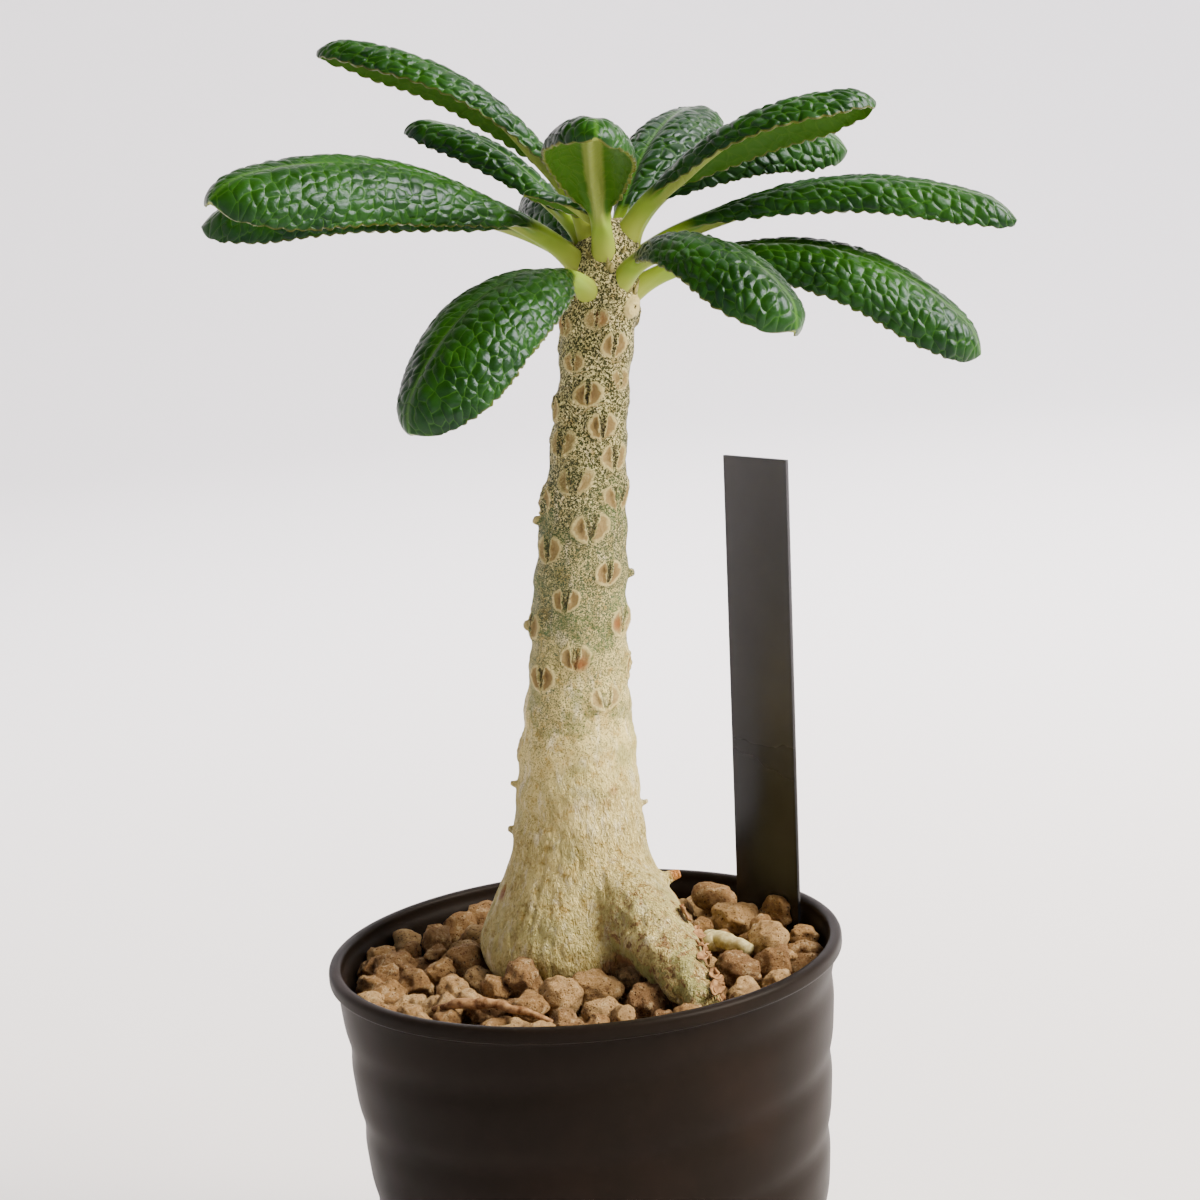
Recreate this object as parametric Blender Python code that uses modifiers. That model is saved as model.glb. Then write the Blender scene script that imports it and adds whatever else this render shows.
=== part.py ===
# Potted dorstenia: a small succulent tree with a swollen foot, in a plastic pot of clay granules
# with a plant tag. +Z is up, the origin is the middle of the pot's foot, and the side that the
# viewer sees faces -Y. Sizes are in millimetres, and MM turns them into Blender's metres.

import math
import random
from collections import namedtuple

import bmesh
import bpy
import numpy as np
from mathutils import Matrix, Vector

MM = 0.001
GAP = 0.3                    # air between two pieces that touch

POT_HEIGHT = 80.0
RIM_RADIUS = 45.0
RIM_DEPTH = 2.6              # height of the thicker lip
RIM_STEP = 1.0               # how far the wall steps in under the lip
WALL_TAPER = 0.083           # radius lost per millimetre of depth
WALL = 1.6
FLOOR = 2.2
FOOT_ROUNDING = 1.4
LIP_WIDTH = 2.0
LIP_ROUNDING = 0.7
POT_STEPS = 32
POT_ROWS = 15
GROOVE_PITCH = 14.0          # the soft spiral groove drops this far in one turn
GROOVE_DEPTH = 0.5
GROOVE_WIDTH = 5.0
FIRST_GROOVE = 7.4           # depth under the rim where the groove crosses +X
DRAIN_HOLES = 5
DRAIN_RADIUS = 3.5
DRAIN_CIRCLE = 21.0

SOIL_TOP = 72.6              # the bed that the granules are sunk in
SOIL_CROWN = 1.2             # the bed is this much higher in the middle
GRANULE_PITCH = 8.9
GRANULE_RADIUS = (3.8, 5.2)
GRANULE_TOP = POT_HEIGHT - 2.2
GRANULE_DENT = (0.84, 1.12)  # how far its corners stray from round
GRANULE_SINK = (0.6, 2.4)    # height of its middle over the bed

TRUNK_Y = 4.0                # the trunk stands this far behind the pot's middle
TRUNK_LEAN = 11.5            # the crown stands this far towards +X
TRUNK_FOOT, TRUNK_CROWN = 78.0, 191.0
LEAN_POWER = 1.8
TRUNK_STEPS = 24
TRUNK_ROW = 3.4
TRUNK_PROFILE = ((54, 5.0), (60, 9.5), (68, 14.0), (75, 17.2), (80.5, 18.4), (85, 16.7),
                 (89, 14.8), (93, 13.1), (98, 11.8), (105, 11.0), (115, 10.0), (126, 8.8),
                 (137, 8.3), (147, 7.9), (157, 7.2), (167, 6.5), (178, 6.1), (187, 6.4),
                 (194, 6.5), (199, 5.8), (202.5, 4.2), (204.6, 2.0))
NODE_RING, RING_RISE = 7.5, 0.22    # spacing and height of the soft swellings up the trunk
KNOB_RISE = 0.45             # unevenness of the swollen foot
SCAR_HALF_WIDTH, SCAR_HALF_HEIGHT, SCAR_RISE = 2.6, 1.7, 0.55
GOLDEN_ANGLE = 137.5

# Leaf scars on the side that the viewer sees: azimuth in degrees, height.
FRONT_SCARS = ((-36, 190), (-95, 188.5), (-150, 187.5), (-65, 184), (-125, 181.5), (-46, 178),
               (-98, 176), (-168, 173.5), (-72, 170.5), (-135, 168), (-48, 165), (-107, 161.5),
               (-165, 158), (-37, 158), (-81, 153.5), (-138, 150), (-56, 145.5), (-108, 141.5),
               (-162, 136.5), (-29, 136.5), (-94, 131.5), (-1, 128), (-135, 128), (-59, 124),
               (180, 115))
BACK_SCARS = 22
BACK_SCARS_TOP, BACK_SCARS_DROP = 188.0, 3.2

# Hard stubs of old leaf bases: azimuth, height, length, radius.
STUBS = ((-2, 89.5, 3.4, 1.6), (180, 154.5, 1.5, 0.9), (178, 136, 1.2, 0.8), (-176, 108.5, 1.6, 0.9),
         (179, 100, 1.3, 0.9), (-4, 144, 1.4, 0.8), (3, 103, 1.5, 0.9), (80, 121, 1.6, 0.9),
         (110, 96, 1.6, 1.0), (45, 131, 1.3, 0.8))
STUB_SINK = 0.6              # how deep a stub sits in the bark
STUB_TIP = 0.35              # its tip as a share of its radius
STUB_TILT = 75.0

# The thick root that runs out over the granules: x, y, z, radius.
FOOT_ROOT = ((4, 0, 92.5, 6), (8.5, -7, 88.5, 6.9), (12.3, -13.8, 84.2, 6.5), (15.5, -20.3, 80.8, 5.1),
             (18, -26, 78.5, 3.7), (19.5, -29.8, 77.2, 2.5))

TAG_WIDTH = 15.0
TAG_THICKNESS = 0.8
TAG_TOP = 161.0
TAG_SHOULDER = 62.0          # height where the tag narrows to its point
TAG_POINT = 48.0
TAG_FOOT = (33.3, 15.5)      # where the tag passes through the top of the soil
TAG_TURN = -46.6
TAG_LEAN = 2.1

PETIOLE_RADIUS = 1.85
PETIOLE_DROP = 0.3           # its middle lies this share of its radius under the midrib
BLADE_THICKNESS = 0.9
BLADE_START, BLADE_FULL = 0.08, 0.30
WIDENS_TO, NARROWS_FROM = 0.62, 0.60
SLOWNESS, BLUNTNESS = 1.9, 3.2    # how the blade opens, and how round its tip is
HOOD_FROM, HOOD_DROP = 0.9, 2.2   # the tip bends down like a hood
ROLLED_AT = 0.45                  # the place along the leaf where it has its whole roll
FULL_SIZED = 8.0             # leaves of this half width or more have the full thickness
CREST_SLOPE, MARGIN_SLOPE = 14.0, -82.0
MIDRIB_CHANNEL = 0.7
RIB_DEPTH, RIB_TAPER = 2.6, 0.9
BULLA_HEIGHT = 0.35
CRENATE_DEPTH = 0.45
LEAF_COLUMNS = (-1.0, -0.73, -0.43, -0.15, 0.0, 0.15, 0.43, 0.73, 1.0)
LEAF_ROW = 4.15

Leaf = namedtuple("Leaf", "name azimuth drift height launch tip length half_width roll")
LEAVES = (
    Leaf("leaf_01", 355, -10.6, 192.4, 31.2, -56, 69, 12.3, -13),
    Leaf("leaf_02", 244, -23, 192.8, 30.7, -64, 62.7, 15.2, -1),
    Leaf("leaf_03", 306, 0, 194.0, 39, -52.7, 54, 13.8, 18),
    Leaf("leaf_04", 102, 0, 194.6, 50, -10, 48, 9.5, 0),
    Leaf("leaf_05", 167, 18, 198.0, 38.5, -17, 70, 12.2, 12),
    Leaf("leaf_06", 205.5, 13, 197.0, 46, -15.5, 74, 14.2, 19),
    Leaf("leaf_07", 1, -12, 197.0, 34.3, -27, 70.5, 9.1, -10),
    Leaf("leaf_08", 64, -0.5, 197.6, 64.7, -6, 54, 10.4, -0.5),
    Leaf("leaf_09", 265, 9, 198.7, 64, -10, 52.5, 10.2, 11),
    Leaf("leaf_10", 147.5, 5.7, 199.9, 61, 10, 44, 7.4, 0),
    Leaf("leaf_11", 26, -24.3, 200.2, 61.4, -23.5, 49, 10.2, -18),
    Leaf("leaf_12", 194, -25, 202.2, 73, 6, 60, 9.4, -10),
    Leaf("leaf_13", 341, 21.7, 202.2, 54, -3.8, 50.6, 10.1, 14.5),
    Leaf("young_leaf_1", 240, -36, 202.8, 44, 10, 19, 3.4, 0),
    Leaf("young_leaf_2", 95, 0, 203.6, 82, 66, 15, 3.0, 0),
)


def clear_scene():
    for old in list(bpy.data.objects):
        bpy.data.objects.remove(old, do_unlink=True)


def new_collection(name):
    group = bpy.data.collections.new(name)
    bpy.context.scene.collection.children.link(group)
    return group


def material(name, colour, roughness):
    """A Principled material from a linear colour and a roughness."""
    surface = bpy.data.materials.new(name)
    surface.use_nodes = True
    shader = surface.node_tree.nodes["Principled BSDF"]
    shader.inputs["Base Color"].default_value = (*colour, 1.0)
    shader.inputs["Roughness"].default_value = roughness
    shader.inputs["Metallic"].default_value = 0.0
    return surface


def new_object(name, mesh, group):
    body = bpy.data.objects.new(name, mesh)
    group.objects.link(body)
    return body


def freeze(body):
    """Turn an object into its evaluated mesh, with stray doubles merged."""
    bpy.context.view_layer.update()
    graph = bpy.context.evaluated_depsgraph_get()
    mesh = bpy.data.meshes.new_from_object(body.evaluated_get(graph))
    edit = bmesh.new()
    edit.from_mesh(mesh)
    bmesh.ops.remove_doubles(edit, verts=edit.verts, dist=1e-6)
    bmesh.ops.dissolve_degenerate(edit, edges=edit.edges, dist=1e-7)
    edit.to_mesh(mesh)
    edit.free()
    name, group, place = body.name, body.users_collection[0], body.matrix_world.copy()
    bpy.data.objects.remove(body)
    solid = new_object(name, mesh, group)
    solid.matrix_world = place
    return solid


def keep_main_body(body):
    """Drop loose scraps and sealed bubbles: only the largest connected shell stays."""
    edit = bmesh.new()
    edit.from_mesh(body.data)
    left, shells = set(edit.verts), []
    while left:
        shell, edge_of_search = set(), [left.pop()]
        while edge_of_search:
            vertex = edge_of_search.pop()
            shell.add(vertex)
            near = {edge.other_vert(vertex) for edge in vertex.link_edges} & left
            left -= near
            edge_of_search.extend(near)
        shells.append(shell)
    shells.sort(key=len)
    for shell in shells[:-1]:
        bmesh.ops.delete(edit, geom=list(shell), context="VERTS")
    edit.to_mesh(body.data)
    edit.free()
    return body


def turned(name, profile, steps, group):
    """A body of revolution about Z; its profile runs up the inside and down the outside."""
    points = [(radius * MM, 0, height * MM) for radius, height in profile]
    mesh = bpy.data.meshes.new(name)
    mesh.from_pydata(points, [(i, i + 1) for i in range(len(points) - 1)], [])
    body = new_object(name, mesh, group)
    screw = body.modifiers.new("turn", "SCREW")
    screw.steps = screw.render_steps = steps
    screw.use_merge_vertices = True
    screw.merge_threshold = 1e-5
    return freeze(body)


def shape(body, rule):
    """Move every vertex of a body by a rule on its place in millimetres."""
    for vertex in body.data.vertices:
        vertex.co = Vector(rule(*(vertex.co / MM))) * MM


def loft(name, rings, group):
    """A closed body through rings of equal count, the ends closed by strips across each ring."""
    count = len(rings[0])
    half = count // 2
    edit = bmesh.new()
    rows = [[edit.verts.new(Vector(point) * MM) for point in ring] for ring in rings]
    for low, high in zip(rows, rows[1:]):
        for i in range(count):
            k = (i + 1) % count
            if i < half - 1 or i == count - 1:
                edit.faces.new((low[i], low[k], high[k]))
                edit.faces.new((low[i], high[k], high[i]))
            else:
                edit.faces.new((low[i], low[k], high[i]))
                edit.faces.new((low[k], high[k], high[i]))
    for row, flip in ((rows[0], True), (rows[-1], False)):
        for i in range(half - 1):
            a, b, c, d = row[i], row[i + 1], row[count - 2 - i], row[count - 1 - i]
            for face in ((a, b, d), (b, c, d)):
                edit.faces.new(face if not flip else face[::-1])
    bmesh.ops.recalc_face_normals(edit, faces=edit.faces)
    mesh = bpy.data.meshes.new(name)
    edit.to_mesh(mesh)
    edit.free()
    return new_object(name, mesh, group)


def boolean(body, operation, other):
    """Add, cut or keep the overlap with another object or with a whole collection."""
    cut = body.modifiers.new(operation.lower(), "BOOLEAN")
    cut.operation = operation
    cut.solver = "EXACT"
    if isinstance(other, bpy.types.Collection):
        cut.operand_type = "COLLECTION"
        cut.collection = other
    else:
        cut.object = other
    return body


def as_cutter(body):
    body.display_type = "WIRE"
    body.hide_render = True
    return body


def smooth_value(table, place):
    """A smooth curve through a table of places and values."""
    places = [row[0] for row in table]
    values = [row[1] for row in table]
    place = min(max(place, places[0]), places[-1])
    k = min(max(int(np.searchsorted(places, place)) - 1, 0), len(places) - 2)
    slopes = np.gradient(values, places)
    span = places[k + 1] - places[k]
    t = (place - places[k]) / span
    rise = values[k + 1] - values[k]
    bend = (slopes[k] * span - rise) * (1 - t) + (rise - slopes[k + 1] * span) * t
    return values[k] + t * rise + t * (1 - t) * bend


def wall_radius(height):
    return RIM_RADIUS - RIM_STEP - WALL_TAPER * (POT_HEIGHT - height)


def inner_radius(height):
    return wall_radius(height) - WALL


def pot_profile():
    foot = wall_radius(0)
    lip_foot = POT_HEIGHT - RIM_DEPTH
    inside = [(0, FLOOR), (inner_radius(FLOOR) - 2, FLOOR), (inner_radius(4), 4)]
    inside += [(inner_radius(height), height) for height in (22, 40, 58, 68, 76)]
    lip = [(RIM_RADIUS - LIP_WIDTH, POT_HEIGHT - LIP_ROUNDING), (RIM_RADIUS - LIP_WIDTH / 2, POT_HEIGHT),
           (RIM_RADIUS, POT_HEIGHT - LIP_ROUNDING), (RIM_RADIUS, lip_foot + LIP_ROUNDING / 2)]
    wall = [(wall_radius(height), height) for height in np.linspace(lip_foot, 4, POT_ROWS)]
    base = [(foot, FOOT_ROUNDING), (foot - 0.4 * FOOT_ROUNDING, 0.4 * FOOT_ROUNDING),
            (foot - FOOT_ROUNDING, 0), (0, 0)]
    return inside + lip + wall + base


def grooved(x, y, z):
    """Sink the outer wall along the spiral groove."""
    radius = math.hypot(x, y)
    lip_foot = POT_HEIGHT - RIM_DEPTH
    if radius < wall_radius(z) - 0.5 * WALL or not 3 < z < lip_foot - 0.1:
        return x, y, z
    turn = -math.atan2(y, x) / math.tau
    below = POT_HEIGHT - z - FIRST_GROOVE - GROOVE_PITCH * turn
    offset = (below / GROOVE_PITCH + 0.5) % 1.0 - 0.5
    distance = 2 * offset * GROOVE_PITCH / GROOVE_WIDTH
    fade = min(1.0, (lip_foot - z) / 3)
    scale = 1 - fade * GROOVE_DEPTH * math.exp(-distance ** 2) / radius
    return x * scale, y * scale, z


def build_pot(parts, cutters):
    pot = turned("pot", pot_profile(), POT_STEPS, parts)
    shape(pot, grooved)
    for k in range(DRAIN_HOLES):
        angle = math.tau * (k + 0.5) / DRAIN_HOLES
        bpy.ops.mesh.primitive_cylinder_add(
            vertices=12, radius=DRAIN_RADIUS * MM, depth=3 * FLOOR * MM,
            location=(DRAIN_CIRCLE * math.cos(angle) * MM, DRAIN_CIRCLE * math.sin(angle) * MM, 0))
        hole = as_cutter(bpy.context.object)
        hole.name = f"drain_cutter_{k + 1}"
        move_to(hole, cutters)
        boolean(pot, "DIFFERENCE", hole)
    pot.data.materials.append(material("black_plastic", (0.016, 0.013, 0.012), 0.38))
    return pot


def move_to(body, group):
    for home in list(body.users_collection):
        home.objects.unlink(body)
    group.objects.link(body)


def trunk_x(height):
    rise = max(height - TRUNK_FOOT, 0) / (TRUNK_CROWN - TRUNK_FOOT)
    return TRUNK_LEAN * rise ** LEAN_POWER


def back_scars():
    """Leaf scars of the hidden side, by the plant's own spiral."""
    found = []
    for k in range(4 * BACK_SCARS):
        azimuth = (20 + GOLDEN_ANGLE * k) % 360
        if 15 < azimuth < 170:
            found.append((azimuth, BACK_SCARS_TOP - BACK_SCARS_DROP * len(found)))
    return found[:BACK_SCARS]


def trunk_relief(azimuth, height):
    """How far the bark stands out here: node rings, leaf scars and a slow unevenness."""
    rise = min(max((height - 84) / 30, 0), 1) * min(max((196 - height) / 10, 0), 1)
    wave = math.sin(math.tau * height / NODE_RING + 1.1 * math.sin(azimuth) + 0.7 * math.sin(2 * azimuth))
    out = RING_RISE * rise * wave
    low = min(max((112 - height) / 30, 0), 1)
    out += low * KNOB_RISE * math.sin(3 * azimuth + 0.11 * height) * math.sin(0.16 * height + azimuth)
    radius = smooth_value(TRUNK_PROFILE, height)
    for scar_azimuth, scar_height in SCARS:
        turn = (azimuth - math.radians(scar_azimuth) + math.pi) % math.tau - math.pi
        across = turn * radius / SCAR_HALF_WIDTH
        along = (height - scar_height) / SCAR_HALF_HEIGHT
        out += SCAR_RISE * math.exp(-(across ** 2 + along ** 2) ** 1.3)
    return out


def trunk_body(name, swell, group):
    """The trunk with its caudex, swollen by a clearance where it serves as a cutter."""
    bottom, top = TRUNK_PROFILE[0][0], TRUNK_PROFILE[-1][0]
    profile = []
    for z in np.linspace(top, bottom, round((top - bottom) / TRUNK_ROW)):
        radius = smooth_value(TRUNK_PROFILE, z)
        slope = smooth_value(TRUNK_PROFILE, z + 0.5) - smooth_value(TRUNK_PROFILE, z - 0.5)
        profile.append((radius + swell * (1.2 + slope * slope), z))
    if swell:
        profile = [(profile[0][0], top + swell)] + profile + [(profile[-1][0], bottom - swell)]
    profile = [(0, profile[0][1])] + profile + [(0, profile[-1][1])]
    body = turned(name, profile, TRUNK_STEPS, group)

    def bark(x, y, z):
        radius = math.hypot(x, y)
        scale = 1 + trunk_relief(math.atan2(y, x), z) / radius if radius > 1 else 1
        return trunk_x(z) + x * scale, TRUNK_Y + y * scale, z

    shape(body, bark)
    return body


def foot_root(name, swell, group):
    """The thick root over the granules, as a tapering tube."""
    curve = bpy.data.curves.new(name, "CURVE")
    curve.dimensions = "3D"
    curve.bevel_depth = MM
    curve.bevel_resolution = 3
    curve.use_fill_caps = True
    spline = curve.splines.new("POLY")
    spline.points.add(len(FOOT_ROOT) - 1)
    for point, (x, y, z, radius) in zip(spline.points, FOOT_ROOT):
        point.co = (x * MM, y * MM, z * MM, 1)
        point.radius = radius + swell
    toe = Vector(FOOT_ROOT[-1][:3])
    ahead = (toe - Vector(FOOT_ROOT[-2][:3])).normalized()
    spline.points[-1].co = (*((toe + ahead * swell) * MM), 1)
    return freeze(new_object(name, curve, group))


def stub(name, azimuth, height, length, radius, group):
    """One hard pointed remnant of a leaf base, leaning a little upwards."""
    angle = math.radians(azimuth)
    base = smooth_value(TRUNK_PROFILE, height) - STUB_SINK
    bpy.ops.mesh.primitive_cone_add(vertices=6, radius1=radius * MM, radius2=STUB_TIP * radius * MM,
                                    depth=(length + STUB_SINK) * MM)
    cone = bpy.context.object
    cone.name = name
    reach = base + 0.5 * length
    cone.location = (MM * (trunk_x(height) + reach * math.cos(angle)),
                     MM * (TRUNK_Y + reach * math.sin(angle)), MM * height)
    cone.rotation_euler = (0, math.radians(STUB_TILT), angle)
    move_to(cone, group)
    return cone


def build_stem(parts, cutters):
    stem = trunk_body("stem", 0, parts)
    growths = new_collection("growths")
    foot_root("foot_root", 0, growths)
    for k, (azimuth, height, length, radius) in enumerate(STUBS):
        stub(f"stub_{k + 1}", azimuth, height, length, radius, growths)
    stem = keep_main_body(freeze(boolean(stem, "UNION", growths)))
    for grown in list(growths.objects):
        bpy.data.objects.remove(grown)
    bpy.data.collections.remove(growths)
    stem.data.materials.clear()
    stem.data.materials.append(material("tan_bark", (0.42, 0.34, 0.18), 0.75))
    as_cutter(trunk_body("trunk_clearance", GAP + 0.05, cutters))
    as_cutter(foot_root("root_clearance", GAP + 0.05, cutters))
    return stem


def granule(name, centre, radius, draw, group):
    """One angular clay granule: a dented and stretched twenty-faced lump."""
    edit = bmesh.new()
    bmesh.ops.create_icosphere(edit, subdivisions=1, radius=radius * MM)
    for vertex in edit.verts:
        vertex.co *= draw.uniform(*GRANULE_DENT)
    long, broad, tall = draw.uniform(0.9, 1.25), draw.uniform(0.8, 1.0), draw.uniform(0.8, 1.0)
    turn = Matrix.Rotation(draw.uniform(0, math.tau), 4, "Z")
    tip = Matrix.Rotation(draw.uniform(-0.6, 0.6), 4, "X")
    bmesh.ops.transform(edit, matrix=turn @ tip @ Matrix.Diagonal((long, broad, tall, 1)), verts=edit.verts)
    mesh = bpy.data.meshes.new(name)
    edit.to_mesh(mesh)
    edit.free()
    lump = new_object(name, mesh, group)
    lump.location = Vector(centre) * MM
    return lump


def granule_places(draw):
    """Granule centres in rings over the bed, clear of the caudex."""
    places = []
    reach = inner_radius(POT_HEIGHT - 5) - GRANULE_RADIUS[0]
    ring = reach
    while ring > 8:
        count = round(math.tau * ring / GRANULE_PITCH)
        shift = draw.uniform(0, math.tau)
        for k in range(count):
            angle = shift + math.tau * (k + draw.uniform(-0.2, 0.2)) / count
            spread = ring + draw.uniform(-1, 0.6)
            x, y = spread * math.cos(angle), spread * math.sin(angle)
            if math.hypot(x, y - TRUNK_Y) > smooth_value(TRUNK_PROFILE, POT_HEIGHT) - 1:
                places.append((x, y))
        ring -= 0.88 * GRANULE_PITCH
    return places


def soil_profile(top, floor, slack):
    """A turned plug that follows the inside of the pot at a distance of slack."""
    side = [(inner_radius(height) - slack, height) for height in (top, 58, 40, 22, 5)]
    return [(0, top + SOIL_CROWN)] + side + [(side[-1][0] - 2.5, floor), (0, floor)]


def build_soil(parts, cutters):
    draw = random.Random(11)
    soil = turned("soil", soil_profile(SOIL_TOP, FLOOR + GAP, 3 * GAP), POT_STEPS, parts)
    granules = new_collection("granules")
    for k, (x, y) in enumerate(granule_places(draw)):
        radius = draw.uniform(*GRANULE_RADIUS)
        height = min(SOIL_TOP + draw.uniform(*GRANULE_SINK), GRANULE_TOP - radius)
        granule(f"granule_{k + 1}", (x, y, height), radius, draw, granules)
    soil = freeze(boolean(soil, "UNION", granules))
    for lump in list(granules.objects):
        bpy.data.objects.remove(lump)
    bpy.data.collections.remove(granules)
    room = turned("pot_room", soil_profile(POT_HEIGHT, 0, GAP), POT_STEPS, cutters)
    boolean(soil, "INTERSECT", as_cutter(room))
    for cutter in ("trunk_clearance", "root_clearance", "tag_clearance"):
        boolean(soil, "DIFFERENCE", bpy.data.objects[cutter])
    soil = keep_main_body(freeze(soil))
    soil.data.materials.clear()
    soil.data.materials.append(material("clay_granules", (0.40, 0.24, 0.11), 0.9))
    return soil


def tag_outline(swell):
    half = TAG_WIDTH / 2 + swell
    foot = TAG_POINT - SOIL_TOP
    return ((-half, TAG_SHOULDER - SOIL_TOP), (0, foot - 2 * swell), (half, TAG_SHOULDER - SOIL_TOP),
            (half, TAG_TOP - SOIL_TOP + swell), (-half, TAG_TOP - SOIL_TOP + swell))


def tag_body(name, swell, group):
    """The plant tag as a flat outline with thickness, turned and leant where it stands."""
    curve = bpy.data.curves.new(name, "CURVE")
    curve.dimensions = "2D"
    curve.fill_mode = "BOTH"
    curve.extrude = (TAG_THICKNESS / 2 + swell) * MM
    outline = tag_outline(swell)
    spline = curve.splines.new("POLY")
    spline.points.add(len(outline) - 1)
    for point, (x, y) in zip(spline.points, outline):
        point.co = (x * MM, y * MM, 0, 1)
    spline.use_cyclic_u = True
    tag = freeze(new_object(name, curve, group))
    lean = Matrix.Rotation(math.radians(TAG_LEAN), 4, "Y")
    turn = Matrix.Rotation(math.radians(TAG_TURN), 4, "Z")
    upright = Matrix.Rotation(math.radians(90), 4, "X")
    place = Matrix.Translation(Vector((*TAG_FOOT, SOIL_TOP)) * MM)
    tag.matrix_world = place @ lean @ turn @ upright
    return tag


def build_tag(parts, cutters):
    tag = tag_body("plant_tag", 0, parts)
    tag.data.materials.append(material("black_tag_plastic", (0.022, 0.020, 0.021), 0.42))
    as_cutter(tag_body("tag_clearance", GAP, cutters))
    return tag


def ease(low, high, value):
    t = min(max((value - low) / (high - low), 0), 1)
    return t * t * (3 - 2 * t)


def blade_width(along):
    """Share of the full half width: a slow start at the petiole and a blunt round tip."""
    u = max((along - BLADE_START) / (1 - BLADE_START), 0)
    opening = 1 - (1 - min(u / WIDENS_TO, 1)) ** SLOWNESS
    late = max(u - NARROWS_FROM, 0) / (1 - NARROWS_FROM)
    return opening * math.sqrt(max(1 - late ** BLUNTNESS, 0))


def arch(fraction, half_width):
    """Across and up from the midrib to a point on the arched upper face."""
    start, end = math.radians(CREST_SLOPE), math.radians(MARGIN_SLOPE)
    slope = start + (end - start) * abs(fraction)
    bend = half_width / (end - start)
    across = bend * (math.sin(slope) - math.sin(start))
    up = bend * (math.cos(start) - math.cos(slope))
    return math.copysign(across, fraction), up, slope * (1 if fraction >= 0 else -1)


def leaf_ring(leaf, along, row):
    """The section of a leaf: points over the top from one margin to the other and back below."""
    blade = ease(BLADE_START, BLADE_FULL, along)
    width = max(leaf.half_width * blade_width(along), 0.5)
    scale = min(leaf.half_width / FULL_SIZED, 1)
    petiole = PETIOLE_RADIUS * scale * (1 - 0.25 * along)
    rib = RIB_DEPTH * scale * (1 - along) ** RIB_TAPER
    relief = blade * scale * min(width / leaf.half_width * 1.6, 1)
    over, under = [], []
    for column, fraction in enumerate(LEAF_COLUMNS):
        up_or_down = 1 if (row + column) % 2 else -1
        edge = abs(fraction) == 1
        reach = width + (CRENATE_DEPTH * relief * (1 if row % 2 else -1) if edge else 0)
        across, up, slope = arch(fraction, reach)
        normal = (-math.sin(slope), math.cos(slope))
        lift = 0
        if fraction == 0:
            lift = -MIDRIB_CHANNEL * relief
        elif not edge and abs(fraction) > 0.2:
            lift = BULLA_HEIGHT * relief * up_or_down
        thick = BLADE_THICKNESS * (0.75 + 0.25 * scale)
        if abs(fraction) < 0.2:
            thick += rib if fraction == 0 else 0.45 * rib
        top = (across + lift * normal[0], up + lift * normal[1])
        low = (top[0] - thick * normal[0], top[1] - thick * normal[1])
        angle = math.radians(90 - 82 * fraction)
        round_top = (petiole * math.cos(angle), petiole * (math.sin(angle) - PETIOLE_DROP))
        round_low = (round_top[0], -petiole * (math.sin(angle) + PETIOLE_DROP))
        over.append([blade * a + (1 - blade) * b for a, b in zip(top, round_top)])
        under.append([blade * a + (1 - blade) * b for a, b in zip(low, round_low)])
    return over + under[::-1]


def leaf_rows(leaf):
    """Places along the leaf, closer together near the blunt tip."""
    count = max(round(leaf.length / LEAF_ROW), 6)
    even = np.linspace(0, 0.94, count)
    return list(even) + [0.975, 0.996]


def leaf_frames(leaf):
    """Points, directions and side vectors along the arching midrib."""
    start = math.radians(leaf.azimuth)
    scale = min(leaf.half_width / FULL_SIZED, 1)
    point = np.array([trunk_x(leaf.height), TRUNK_Y, leaf.height])
    inside = smooth_value(TRUNK_PROFILE, leaf.height) * 0.55
    point += inside * np.array([math.cos(start), math.sin(start), 0])
    frames, last = [], 0.0
    for along in leaf_rows(leaf):
        middle = (along + last) / 2
        for place in (middle, along):
            rise = math.radians(leaf.launch + (leaf.tip - leaf.launch) * place)
            heading = start + math.radians(leaf.drift) * place
            ahead = np.array([math.cos(rise) * math.cos(heading), math.cos(rise) * math.sin(heading),
                              math.sin(rise)])
            if place == middle:
                point = point + ahead * leaf.length * (along - last)
        side = np.array([math.sin(heading), -math.cos(heading), 0])
        up = np.cross(side, ahead)
        roll = math.radians(leaf.roll) * min(along / ROLLED_AT, 1)
        across = side * math.cos(roll) + up * math.sin(roll)
        upward = up * math.cos(roll) - side * math.sin(roll)
        hood = HOOD_DROP * scale * (max(along - HOOD_FROM, 0) / (1 - HOOD_FROM)) ** 2
        frames.append((along, point - upward * hood, across, upward))
        last = along
    return frames


def build_leaf(leaf, parts, green):
    rings = []
    for row, (along, point, side, up) in enumerate(leaf_frames(leaf)):
        rings.append([point + side * across + up * rise for across, rise in leaf_ring(leaf, along, row)])
    body = loft(leaf.name, rings, parts)
    boolean(body, "DIFFERENCE", bpy.data.objects["trunk_clearance"])
    body.data.materials.append(green)
    return body


SCARS = list(FRONT_SCARS) + back_scars()


def build():
    clear_scene()
    parts = new_collection("potted_dorstenia")
    cutters = new_collection("cutters")
    build_pot(parts, cutters)
    build_stem(parts, cutters)
    build_tag(parts, cutters)
    build_soil(parts, cutters)
    green = material("leaf_green", (0.035, 0.13, 0.022), 0.4)
    for leaf in LEAVES:
        build_leaf(leaf, parts, green)


build()
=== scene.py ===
import math
import random
from functools import partial

import bpy
import numpy as np
from mathutils import Matrix, Vector, noise


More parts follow.
